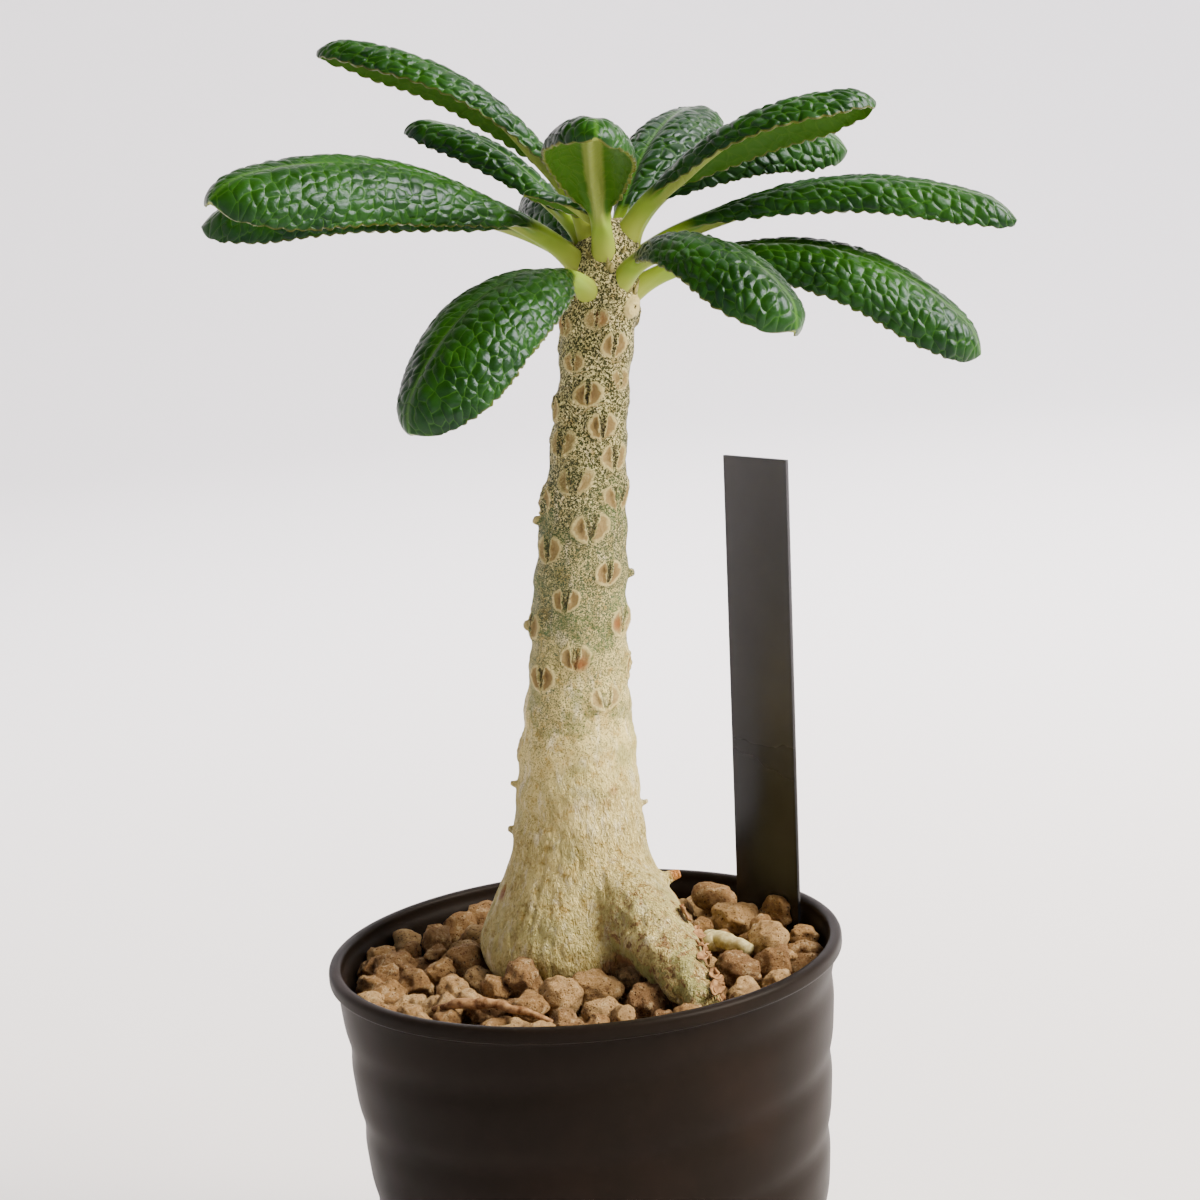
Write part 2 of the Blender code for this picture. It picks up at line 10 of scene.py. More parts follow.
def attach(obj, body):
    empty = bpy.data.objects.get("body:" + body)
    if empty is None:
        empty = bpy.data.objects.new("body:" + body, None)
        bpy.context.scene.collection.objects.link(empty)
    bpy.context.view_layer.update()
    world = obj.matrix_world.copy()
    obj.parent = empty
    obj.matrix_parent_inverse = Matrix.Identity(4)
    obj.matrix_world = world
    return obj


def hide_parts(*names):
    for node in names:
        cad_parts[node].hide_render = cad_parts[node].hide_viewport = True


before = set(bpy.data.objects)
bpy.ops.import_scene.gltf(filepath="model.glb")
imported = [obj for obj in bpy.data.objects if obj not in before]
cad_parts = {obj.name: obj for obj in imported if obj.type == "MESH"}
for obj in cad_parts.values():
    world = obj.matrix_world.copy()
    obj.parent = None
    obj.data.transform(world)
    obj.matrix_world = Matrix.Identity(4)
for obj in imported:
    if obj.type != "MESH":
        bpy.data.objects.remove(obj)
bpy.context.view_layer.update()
mm = 0.001
print("frame loaded with", len(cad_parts), "nodes")


# shared by all pieces: selection, meshes in millimetres, colours and nodes

def selectOnly(*pieces):
    bpy.ops.object.select_all(action="DESELECT")
    for piece in pieces:
        piece.select_set(True)
    bpy.context.view_layer.objects.active = pieces[0]


def applyModifiers(piece):
    selectOnly(piece)
    for modifier in list(piece.modifiers):
        bpy.ops.object.modifier_apply(modifier=modifier.name)


def meshPiece(name, points, edges=(), faces=()):  # points are in millimetres
    mesh = bpy.data.meshes.new(name)
    mesh.from_pydata((np.asarray(points, float) * mm).tolist(), list(edges), list(faces))
    piece = bpy.data.objects.new(name, mesh)
    bpy.context.scene.collection.objects.link(piece)
    return piece


def readPoints(piece):  # the vertices in millimetres
    flat = np.zeros(len(piece.data.vertices) * 3)
    piece.data.vertices.foreach_get("co", flat)
    return flat.reshape(-1, 3) / mm


def writePoints(piece, points):
    piece.data.vertices.foreach_set("co", (np.asarray(points) * mm).ravel())
    piece.data.update()


def readNormals(piece):
    flat = np.zeros(len(piece.data.vertices) * 3, np.float32)
    piece.data.vertices.foreach_get("normal", flat)
    return flat.reshape(-1, 3).astype(float)


def addVectors(piece, name, values):  # a vector on each vertex, for the materials to read
    layer = piece.data.attributes.new(name, "FLOAT_VECTOR", "POINT")
    layer.data.foreach_set("vector", np.asarray(values, np.float32).ravel())


def editAll(piece, step, **settings):  # one step of edit mode on the whole mesh
    selectOnly(piece)
    bpy.ops.object.mode_set(mode="EDIT")
    bpy.ops.mesh.select_all(action="SELECT")
    step(**settings)
    bpy.ops.object.mode_set(mode="OBJECT")


def closeMesh(piece):  # merge seams and poles, then turn all faces outwards
    editAll(piece, bpy.ops.mesh.remove_doubles, threshold=1e-6)
    editAll(piece, bpy.ops.mesh.normals_make_consistent, inside=False)


def spun(name, outline, steps):  # an outline of radius and height, turned about Z
    points = [(radius, 0, height) for radius, height in outline]
    piece = meshPiece(name, points, edges=[(k, k + 1) for k in range(len(points) - 1)])
    editAll(piece, bpy.ops.mesh.spin, steps=steps, angle=math.tau, center=(0, 0, 0), axis=(0, 0, 1))
    closeMesh(piece)
    return piece


def tubeAlong(name, path, roundness):  # a round tube through places of x, y, z and radius
    curve = bpy.data.curves.new(name, "CURVE")
    curve.dimensions, curve.bevel_depth, curve.use_fill_caps = "3D", mm, True
    curve.bevel_resolution = roundness
    spline = curve.splines.new("NURBS")
    spline.points.add(len(path) - 1)
    spline.use_endpoint_u, spline.order_u, spline.resolution_u = True, 3, 6
    for point, (x, y, z, radius) in zip(spline.points, path):
        point.co, point.radius = (x * mm, y * mm, z * mm, 1), radius
    piece = bpy.data.objects.new(name, curve)
    bpy.context.scene.collection.objects.link(piece)
    selectOnly(piece)
    bpy.ops.object.convert(target="MESH")
    closeMesh(piece)
    return piece


def wobbled(spots, steps, amount, draw):  # a loose line through places of x, y, z and radius
    spots = np.array(spots, float)
    share = np.linspace(0, len(spots) - 1, steps)
    line = np.stack([np.interp(share, range(len(spots)), spots[:, k]) for k in range(4)], 1)
    line[:, :3] += [[draw.uniform(-amount, amount) for _ in range(3)] for _ in line]
    return line.tolist()


def scattered(name, model, placements):  # one modelled shape copied to every placement
    points = readPoints(model)
    faces = [tuple(face.vertices) for face in model.data.polygons]
    allPoints, allFaces = [], []
    for k, placement in enumerate(placements):
        allPoints.append(points @ np.array(placement.to_3x3()).T + np.array(placement.translation))
        allFaces += [tuple(vertex + k * len(points) for vertex in face) for face in faces]
    bpy.data.objects.remove(model)
    return meshPiece(name, np.concatenate(allPoints), faces=allFaces)


def smoothStep(low, high, value):
    share = np.clip((np.asarray(value, float) - low) / (high - low), 0, 1)
    return share * share * (3 - 2 * share)


def smoothCurve(table, place):  # a smooth curve through a table of places and values
    places, values = (np.array(column, float) for column in zip(*table))
    place = np.clip(np.asarray(place, float), places[0], places[-1])
    k = np.clip(np.searchsorted(places, place) - 1, 0, len(places) - 2)
    slopes, span = np.gradient(values, places), places[k + 1] - places[k]
    t, rise = (place - places[k]) / span, values[k + 1] - values[k]
    bend = (slopes[k] * span - rise) * (1 - t) + (rise - slopes[k + 1] * span) * t
    return values[k] + t * rise + t * (1 - t) * bend


def hexColour(code):  # an sRGB hex value as linear colour
    channels = [int(code[k:k + 2], 16) / 255 for k in (0, 2, 4)]
    return [c / 12.92 if c <= 0.04045 else ((c + 0.055) / 1.055) ** 2.4 for c in channels] + [1.0]


def setInputs(node, inputs):  # by name or number: a value, a socket or a node
    for key, value in inputs.items():
        if isinstance(value, bpy.types.Node):
            value = value.outputs[2 if value.bl_idname == "ShaderNodeMix" else 0]
        if isinstance(value, bpy.types.NodeSocket):
            node.id_data.links.new(value, node.inputs[key])
        else:
            node.inputs[key].default_value = value


def addNode(tree, kind, inputs=None, **settings):  # a kind with no Node in its name is a ShaderNode
    node = tree.nodes.new(kind if "Node" in kind else "ShaderNode" + kind)
    for name, value in settings.items():
        setattr(node, name, value)
    setInputs(node, inputs or {})
    return node


# what a row of a ramp table gives: the source, the two values it runs between, and what they turn into
rampInputs = ("Value", "From Min", "From Max", "To Min", "To Max")


def startMaterial(name, **constants):  # constants go straight on the shader's own sockets
    material = bpy.data.materials.new(name)
    material.use_nodes = True
    shader = material.node_tree.nodes["Principled BSDF"]
    setInputs(shader, {key.replace("_", " "): value for key, value in constants.items()})
    return material, partial(addNode, material.node_tree), shader


def dress(piece, material, slotName, *nodes):  # the last step of each piece
    piece.data.materials.clear()
    piece.data.materials.append(material)
    selectOnly(piece)
    bpy.ops.object.transform_apply(location=True, rotation=True, scale=True)
    bpy.ops.object.shade_smooth()
    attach(piece, "root")
    if nodes:
        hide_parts(*nodes)
    print(piece.name, "dressed,", len(piece.data.polygons), "faces")


# the pot: a turned shell with a rounded lip and one soft spiral groove

pot = {
    "height": 80.0, "rimRadius": 45.0, "lipWidth": 2.2, "rimDepth": 2.6, "rimStep": 1.0, "taper": 0.083,
    "wall": 1.6, "floor": 2.2, "turns": 192, "rowStep": 1.1,
    "groovePitch": 14.0, "grooveDepth": 0.5, "grooveWidth": 5.0, "firstGroove": 7.4,
    "drainHoles": 5, "drainRadius": 3.5, "drainCircle": 21.0,
    "colour": "17120e", "scuffColour": "221914", "roughness": 0.40,
}


def wallRadius(height):
    return pot["rimRadius"] - pot["rimStep"] - pot["taper"] * (pot["height"] - height)


def innerRadius(height):
    return wallRadius(height) - pot["wall"]


def roundedCorners(corners, steps=5):  # corners are radius, height and size of the rounding
    outline = [corners[0][:2]]
    for before, (x, y, size), after in zip(corners, corners[1:-1], corners[2:]):
        corner = Vector((x, y))
        back = (Vector(before[:2]) - corner).normalized() * size
        ahead = (Vector(after[:2]) - corner).normalized() * size
        for k in range(steps + 1):
            t = k / steps
            outline.append(corner + back * (1 - t) ** 2 + ahead * t ** 2)
    return [tuple(point) for point in outline] + [corners[-1][:2]]


def buildPot():
    top, rim, lipFoot = pot["height"], pot["rimRadius"], pot["height"] - pot["rimDepth"]
    corners = [(0, pot["floor"], 0), (innerRadius(3) - 0.3, pot["floor"], 2.4),
               (innerRadius(76.6), 76.6, 0.8), (rim - pot["lipWidth"], 78.2, 0.6),
               (rim - pot["lipWidth"], top, 0.9), (rim, top, 1.1), (rim, lipFoot + 0.1, 0.5),
               (wallRadius(lipFoot - 0.3), lipFoot - 0.3, 0.5), (wallRadius(0), 0, 1.4), (0, 0, 0)]
    outline = []
    for start, end in zip(roundedCorners(corners), roundedCorners(corners)[1:]):
        count = max(1, round(math.dist(start, end) / pot["rowStep"])) if start[1] != end[1] else 4
        outline += [tuple(np.array(start) + (np.array(end) - start) * k / count) for k in range(count)]
    piece = spun("pot_shell", outline + [(0, 0)], pot["turns"])
    points = readPoints(piece)
    x, y, z = points.T
    radius = np.hypot(x, y)
    below = top - z - pot["firstGroove"] + pot["groovePitch"] * np.arctan2(y, x) / math.tau
    offset = ((below / pot["groovePitch"] + 0.5) % 1.0 - 0.5) * pot["groovePitch"]
    depth = pot["grooveDepth"] * np.exp(-(2 * offset / pot["grooveWidth"]) ** 2)
    depth *= smoothStep(0, 3, lipFoot - z) * smoothStep(2, 6, z) * (radius > wallRadius(z) - 0.7)
    writePoints(piece, points * np.stack([1 - depth / np.maximum(radius, 1)] * 2 + [np.ones(len(z))], 1))
    for k in range(pot["drainHoles"]):
        circle, angle = pot["drainCircle"] * mm, math.tau * (k + 0.5) / pot["drainHoles"]
        bpy.ops.mesh.primitive_cylinder_add(
            vertices=48, radius=pot["drainRadius"] * mm, depth=0.02,
            location=(circle * math.cos(angle), circle * math.sin(angle), 0))
        drill = bpy.context.object
        cut = piece.modifiers.new("drain", "BOOLEAN")
        cut.operation, cut.solver, cut.object = "DIFFERENCE", "EXACT", drill
        applyModifiers(piece)
        bpy.data.objects.remove(drill)
    return piece


# Injection-moulded polypropylene, black with a brown cast: satin, with a faint moulded grain and
# rubbed patches that are a little lighter and duller.
def blackPolypropylene():
    material, add, shader = startMaterial("blackPolypropylene", IOR=1.44, Specular_IOR_Level=0.06)
    place = add("TexCoord").outputs["Object"]
    rubbed = add("TexNoise", {"Vector": place, "Scale": 38.0, "Detail": 5.0})  # 26 mm patches
    rubShare = add("MapRange", {"Value": rubbed, "From Min": 0.45, "From Max": 0.8})
    tone = add("Mix", {0: rubShare, 6: hexColour(pot["colour"]), 7: hexColour(pot["scuffColour"])},
               data_type="RGBA")
    gloss = add("MapRange", {"Value": rubbed, "From Min": 0.3, "From Max": 0.75,
                             "To Min": pot["roughness"] - 0.03, "To Max": pot["roughness"] + 0.09})
    grain = add("TexNoise", {"Vector": place, "Scale": 2800.0, "Detail": 2.0})  # 0.35 mm grain
    bump = add("Bump", {"Height": grain, "Strength": 0.25, "Distance": 0.00003})
    setInputs(shader, {"Base Color": tone, "Roughness": gloss, "Normal": bump})
    return material


dress(buildPot(), blackPolypropylene(), "black_plastic", "pot")
print("pot done")


# the plant tag: a flat strip that narrows to a point in the granules, left bare

tag = {
    "width": 15.0, "thickness": 0.8, "top": 161.0, "shoulder": 62.0, "point": 48.0, "bevel": 0.16,
    "foot": (33.3, 15.5), "soilTop": 72.6, "turn": -46.6, "lean": 2.1,
    # the grey of the upper part: painted sheen mixed with dust
    "colour": "060608", "sheenAndDustColour": "4c4c52", "roughness": 0.25,
}


def buildTag():
    length = tag["top"] - tag["shoulder"]
    middle = (tag["top"] + tag["shoulder"]) / 2 - tag["soilTop"]
    bpy.ops.mesh.primitive_cube_add(size=1, location=(0, 0, middle * mm))
    piece = bpy.context.object
    piece.name = "tag_strip"
    bpy.ops.object.mode_set(mode="EDIT")
    bpy.ops.transform.resize(value=(tag["width"] * mm, tag["thickness"] * mm, length * mm))
    bpy.ops.mesh.select_all(action="DESELECT")
    bpy.ops.object.mode_set(mode="OBJECT")
    for face in piece.data.polygons:
        face.select = face.normal.z < -0.9
    bpy.ops.object.mode_set(mode="EDIT")
    bpy.ops.mesh.select_mode(type="FACE")
    drop = (tag["point"] - tag["shoulder"]) * mm
    bpy.ops.mesh.extrude_region_move(TRANSFORM_OT_translate={"value": (0, 0, drop)})
    bpy.ops.transform.resize(value=(0.04, 1, 1))
    bpy.ops.object.mode_set(mode="OBJECT")
    bevel = piece.modifiers.new("edge", "BEVEL")
    bevel.width, bevel.segments, bevel.limit_method = tag["bevel"] * mm, 3, "ANGLE"
    applyModifiers(piece)
    bpy.ops.object.transform_apply(location=True, rotation=True, scale=True)
    lean = Matrix.Rotation(math.radians(tag["lean"]), 4, "Y")
    turn = Matrix.Rotation(math.radians(tag["turn"]), 4, "Z")
    piece.matrix_world = Matrix.Translation(Vector((*tag["foot"], tag["soilTop"])) * mm) @ lean @ turn
    return piece


# Extruded black PVC strip, a good deal shinier than the pot. Its upper part is greyed by painted sheen
# mixed with clouds of fine dust, and this grey thins out downwards.
def blackPvc():
    material, add, shader = startMaterial("blackPvc", IOR=1.53, Specular_IOR_Level=0.24)
    place = add("TexCoord").outputs["Object"]
    height = add("SeparateXYZ", {0: place}).outputs[2]
    dust = add("TexNoise", {"Vector": place, "Scale": 70.0, "Detail": 3.0})  # 14 mm clouds
    # painted sheen: lighter towards the top, with the dust clouds mixed in below
    sheenAndDust = add("MapRange", {"Value": height, "From Min": 0.098, "From Max": 0.162})
    sheenAndDust = add("Math", {0: dust, 1: 0.25, 2: sheenAndDust}, operation="MULTIPLY_ADD")
    sheenAndDust = add("MapRange", {"Value": sheenAndDust, "From Min": 0.12, "From Max": 1.12})
    tone = add("Mix", {0: sheenAndDust, 6: hexColour(tag["colour"]), 7: hexColour(tag["sheenAndDustColour"])},
               data_type="RGBA")
    gloss = add("MapRange", {"Value": sheenAndDust, "To Min": tag["roughness"], "To Max": tag["roughness"] + 0.14})
    setInputs(shader, {"Base Color": tone, "Roughness": gloss})
    return material


tagPiece = buildTag()
dress(tagPiece, blackPvc(), "black_tag_plastic", "plant_tag")
selectOnly(tagPiece)
bpy.ops.object.shade_smooth_by_angle(angle=math.radians(25))
print("tag done")


# the trunk: a turned profile that leans, with its thick root and old leaf bases melted in, then sculpted

trunk = {
    "y": 4.0, "lean": 11.5, "foot": 78.0, "crown": 191.0, "leanPower": 1.8,
    "profile": ((54, 5.0), (60, 9.5), (68, 14.0), (75, 17.2), (80.5, 18.4), (85, 16.7), (89, 14.8),
                (93, 13.1), (98, 11.8), (105, 11.0), (115, 10.0), (126, 8.8), (137, 8.3), (147, 7.9),
                (157, 7.2), (167, 6.5), (178, 6.1), (187, 6.4), (194, 6.5), (199, 5.8), (202.5, 4.2),
                (204.6, 2.0)),
    "grain": 0.37,            # mesh size of the finished bark
    "creaseSmoothing": 140,   # rounds of smoothing where the root grows out of the trunk
    "ringPitch": 7.5, "ringRise": 0.2, "knobRise": 0.45,
    "bandPitch": 15.0,        # from one green band of the skin to the next
    # the thick root over the granules: x, y, z, radius
    "root": ((4, 0, 92.5, 6), (8.5, -7, 88.5, 6.9), (12.3, -13.8, 84.2, 6.5), (15.5, -20.3, 80.8, 5.1),
             (18, -26, 78.5, 3.7), (19.5, -29.8, 77.2, 2.5)),
    # hard stubs of old leaf bases: azimuth, height, length, radius
    "stubs": ((-2, 89.5, 3.4, 1.6), (180, 154.5, 1.5, 0.9), (178, 136, 1.2, 0.8), (-176, 108.5, 1.6, 0.9),
              (179, 100, 1.3, 0.9), (-4, 144, 1.4, 0.8), (3, 103, 1.5, 0.9), (80, 121, 1.6, 0.9),
              (110, 96, 1.6, 1.0), (45, 131, 1.3, 0.8)),
    # a leaf scar is a disc that a cleft parts in two lobes: half width, half height, half gap, splay
    "scarWide": 1.9, "scarTall": 1.75, "scarGap": 0.42, "scarSplay": 0.1, "scarSteep": 1.6,
    "scarApart": (0.1, 0.75),    # how far the lobes of the lower scars stand apart
    "padRise": 0.5, "padWide": 2.6, "padTall": 2.2, "rimRise": 0.26, "rimAt": 1.1, "rimWidth": 0.13,
    # leaf scars that the viewer sees: azimuth, height
    "scars": ((-95, 188.5), (-150, 187.5), (-65, 184), (-125, 181.5), (-46, 178), (-98, 176),
              (-168, 173.5), (-72, 170.5), (-135, 168), (-48, 165), (-107, 161.5), (-165, 158),
              (-37, 158), (-81, 153.5), (-138, 150), (-56, 145.5), (-108, 141.5), (-162, 136.5),
              (-29, 136.5), (-94, 131.5), (-1, 128), (-135, 128), (-59, 124), (180, 115)),
    "hiddenScars": 22, "hiddenTop": 188.0, "hiddenDrop": 3.2,    # those on the far side
    "bud": (-36, 190),    # a round scar: azimuth, height
    "hollow": (8.5, -13.0, 75.6, 3.8),    # a pit beside the root, darkened with painted shade: x, y, z, radius
}


def trunkX(height):
    rise = np.maximum(np.asarray(height, float) - trunk["foot"], 0) / (trunk["crown"] - trunk["foot"])
    return trunk["lean"] * rise ** trunk["leanPower"]


def allScars():
    hidden = [(20 + 137.5 * k) % 360 for k in range(88)]
    hidden = [azimuth for azimuth in hidden if 15 < azimuth < 170][:trunk["hiddenScars"]]
    heights = [trunk["hiddenTop"] - trunk["hiddenDrop"] * k for k in range(len(hidden))]
    return list(trunk["scars"]) + list(zip(hidden, heights))


def besideTrunk(height, angle, reach):  # a place that far from the trunk's middle line
    return float(trunkX(height)) + reach * math.cos(angle), trunk["y"] + reach * math.sin(angle), height


def rootDistance(points):  # how far a point is from the root's surface, below zero inside it
    nearest = np.full(len(points), 1e9)
    for (*start, r0), (*end, r1) in zip(trunk["root"], trunk["root"][1:]):
        start, span = np.array(start, float), np.subtract(end, start)
        share = np.clip((points - start) @ span / (span @ span), 0, 1)
        gap = np.linalg.norm(points - start - share[:, None] * span, axis=1) - (r0 + (r1 - r0) * share)
        nearest = np.minimum(nearest, gap)
    return nearest


def noiseAt(points, pitch, seed=0.0):  # smooth noise from -1 to 1 with features of that pitch
    places = np.asarray(points) / pitch + seed
    return np.array([noise.noise(Vector(place)) for place in places])


def buildTrunk():
    foot, top = trunk["profile"][0][0], trunk["profile"][-1][0]
    side = [(float(smoothCurve(trunk["profile"], z)), z) for z in np.linspace(top, foot, 120)]
    outline = [(0, top)] + side + [(0, foot)]
    piece = spun("trunk_bark", outline, 96)
    points = readPoints(piece)
    points[:, 0] += trunkX(points[:, 2])
    points[:, 1] += trunk["y"]
    writePoints(piece, points)

    root = tubeAlong("root_body", trunk["root"], 8)
    grown = [root]
    for azimuth, height, length, radius in trunk["stubs"]:
        angle = math.radians(azimuth)
        reach = float(smoothCurve(trunk["profile"], height)) - 0.6 + 0.5 * length
        bpy.ops.mesh.primitive_cone_add(
            vertices=16, radius1=radius * mm, radius2=0.5 * radius * mm, depth=(length + 0.6) * mm,
            location=[value * mm for value in besideTrunk(height, angle, reach)],
            rotation=(0, math.radians(75), angle))
        grown.append(bpy.context.object)
    selectOnly(piece, *grown)
    bpy.ops.object.join()
    piece.data.remesh_voxel_size = trunk["grain"] * mm
    bpy.ops.object.voxel_remesh()
    points = readPoints(piece)
    fromTrunk = np.hypot(points[:, 0] - trunkX(points[:, 2]), points[:, 1] - trunk["y"])
    fromTrunk = np.abs(fromTrunk - smoothCurve(trunk["profile"], points[:, 2]))
    crease = (1 - smoothStep(2, 5.5, np.abs(rootDistance(points)))) * (1 - smoothStep(2, 5.5, fromTrunk))
    group = piece.vertex_groups.new(name="crease")
    for k in np.nonzero(crease > 0.02)[0]:
        group.add([int(k)], float(crease[k]), "REPLACE")
    melt, soften = piece.modifiers.new("melt", "SMOOTH"), piece.modifiers.new("soften", "SMOOTH")
    melt.vertex_group, melt.factor, melt.iterations = "crease", 0.5, trunk["creaseSmoothing"]
    soften.factor, soften.iterations = 0.5, 3
    applyModifiers(piece)
    sculptTrunk(piece)
    return piece


def sculptTrunk(piece):
    points, normals = readPoints(piece), readNormals(piece)
    z = points[:, 2]
    dx, dy = points[:, 0] - trunkX(z), points[:, 1] - trunk["y"]
    azimuth, reach, radius = np.arctan2(dy, dx), np.hypot(dx, dy), smoothCurve(trunk["profile"], z)
    onTrunk = 1 - smoothStep(0.8, 2.6, reach - radius)
    fromRoot = rootDistance(points)
    rootPart = (1 - smoothStep(-0.5, 2.0, fromRoot)) * smoothStep(10.5, 14, -points[:, 1])

    wave = np.sin(math.tau * z / trunk["ringPitch"] + 1.1 * np.sin(azimuth) + 0.7 * np.sin(2 * azimuth))
    lift = trunk["ringRise"] * smoothStep(84, 114, z) * smoothStep(0, 10, 196 - z) * wave * onTrunk
    knobs = np.sin(3 * azimuth + 0.11 * z) * np.sin(0.16 * z + azimuth)
    lift += trunk["knobRise"] * smoothStep(0, 30, 112 - z) * knobs * onTrunk
    lift += 0.30 * noiseAt(points * (1, 1, 0.8), 5.0) * smoothStep(76, 90, z)

    draw = random.Random(4)
    scarPlace = np.tile((9.0, 9.0, 0.0), (len(points), 1))
    for scarAzimuth, scarHeight in allScars():
        size = draw.uniform(0.86, 1.1) * (1.2 - 0.2 * float(smoothStep(150, 186, scarHeight)))
        clear = draw.uniform(0.6, 1.0)
        apart = draw.uniform(*trunk["scarApart"]) * (1 - float(smoothStep(164, 174, scarHeight)))
        turn = (azimuth - math.radians(scarAzimuth) + math.pi) % math.tau - math.pi
        across, along = turn * radius / size, (z - scarHeight) / size
        near = np.hypot(across / 3.3, along / 2.6)
        pick = near < 1.3
        a, b = across[pick], along[pick]
        pad = trunk["padRise"] * np.exp(-((a / trunk["padWide"]) ** 2 + (b / trunk["padTall"]) ** 2) ** 2)
        a = np.abs(a) - apart * (1 + 0.3 * b)
        inner = 1 + trunk["scarSteep"] * (trunk["scarGap"] + trunk["scarSplay"] * b - a)
        lobe = np.maximum(np.hypot(a / trunk["scarWide"], b / trunk["scarTall"]), inner)
        rim = np.exp(-((lobe - trunk["rimAt"]) / trunk["rimWidth"]) ** 2)
        pad += trunk["rimRise"] * rim - trunk["rimRise"] * (1 - smoothStep(0.55, 1.0, lobe))
        cleft = np.exp(-(np.maximum(a, 0) / 0.2) ** 2) * (1 - smoothStep(1.4, 2.0, np.abs(b)))
        pad -= (0.45 - 0.4 * apart) * cleft
        worn = min(1.0, max(0.25, (scarHeight - 108) / 12))    # the lowest scars are nearly gone
        fade = onTrunk[pick] * (1 - smoothStep(1.0, 1.3, near[pick])) * worn
        lift[pick] += pad * fade
        scarPlace[pick] = np.stack([a, b, fade * clear], 1)

    budAzimuth, budHeight = trunk["bud"]
    turn = (azimuth - math.radians(budAzimuth) + math.pi) % math.tau - math.pi
    budReach = np.hypot(turn * radius, z - budHeight)
    lift += 0.8 * (1 - smoothStep(1.3, 2.4, budReach)) - 0.4 * (1 - smoothStep(0.15, 0.5, budReach))
    *pit, pitRadius = trunk["hollow"]
    pitReach = np.linalg.norm((points - pit) / (1.3, 1, 1), axis=1)
    lift -= 1.5 * (1 - smoothStep(0.35, 1.0, pitReach / pitRadius))

    # bark texture that the mesh can hold: pimples above, upright wrinkles on the swollen foot
    pimples = noiseAt(points, 1.15, 7.3)
    wrinkles = noiseAt(np.stack([azimuth * 15, z * 0.42, reach * 0.2], 1), 1.2, 3.1)
    wrinkles = 1.2 * wrinkles - 0.9 * np.abs(wrinkles)
    lowDown = 1 - smoothStep(98, 118, z)
    scarred = 1 - scarPlace[:, 2]
    lift += 0.15 * pimples * (1 - 0.6 * lowDown) * scarred
    lift += 0.26 * wrinkles * lowDown * (1 - 0.6 * rootPart) * scarred
    lift += (0.8 * noiseAt(points, 4.6, 1.9) + 0.5 * noiseAt(points, 1.7, 5.7)) * rootPart
    writePoints(piece, points + normals * lift[:, None])
    addVectors(piece, "scarPlace", scarPlace)
    addVectors(piece, "barkPlace", np.stack([rootPart, budReach, pitReach / pitRadius], 1))
    thorn = smoothStep(0.9, 2.2, reach - radius) * (1 - smoothStep(-3, 0, -fromRoot))
    thorn *= smoothStep(1.0, 4.0, fromRoot)
    addVectors(piece, "barkForm", np.stack([thorn, lowDown, onTrunk], 1))


# Living bark: dark olive skin under a crust of cream cork specks, closing to a continuous cream
# cork with upright wrinkles on the swollen foot; paired brown leaf scars with pale rims. Matt.
barkTones = {
    "skinTop": "383b1d", "skinMiddle": "57664a", "skinFoot": "85763c", "band": "4b6238",
    "crustTop": "e6db9a", "crustFoot": "dbca84", "ochre": "9c7c30", "tint": "97985a", "groove": "94803f",
    "scar": "86683c", "scarDeep": "553d20", "scarRim": "dccb88", "cleft": "2b2412", "thorn": "c48447",
    "rootGreen": "858a48", "flake": "7c5535", "deadEdge": "94663a", "pit": "2f2014", "rust": "8e5226",
    "chalk": "efe3b8",
}


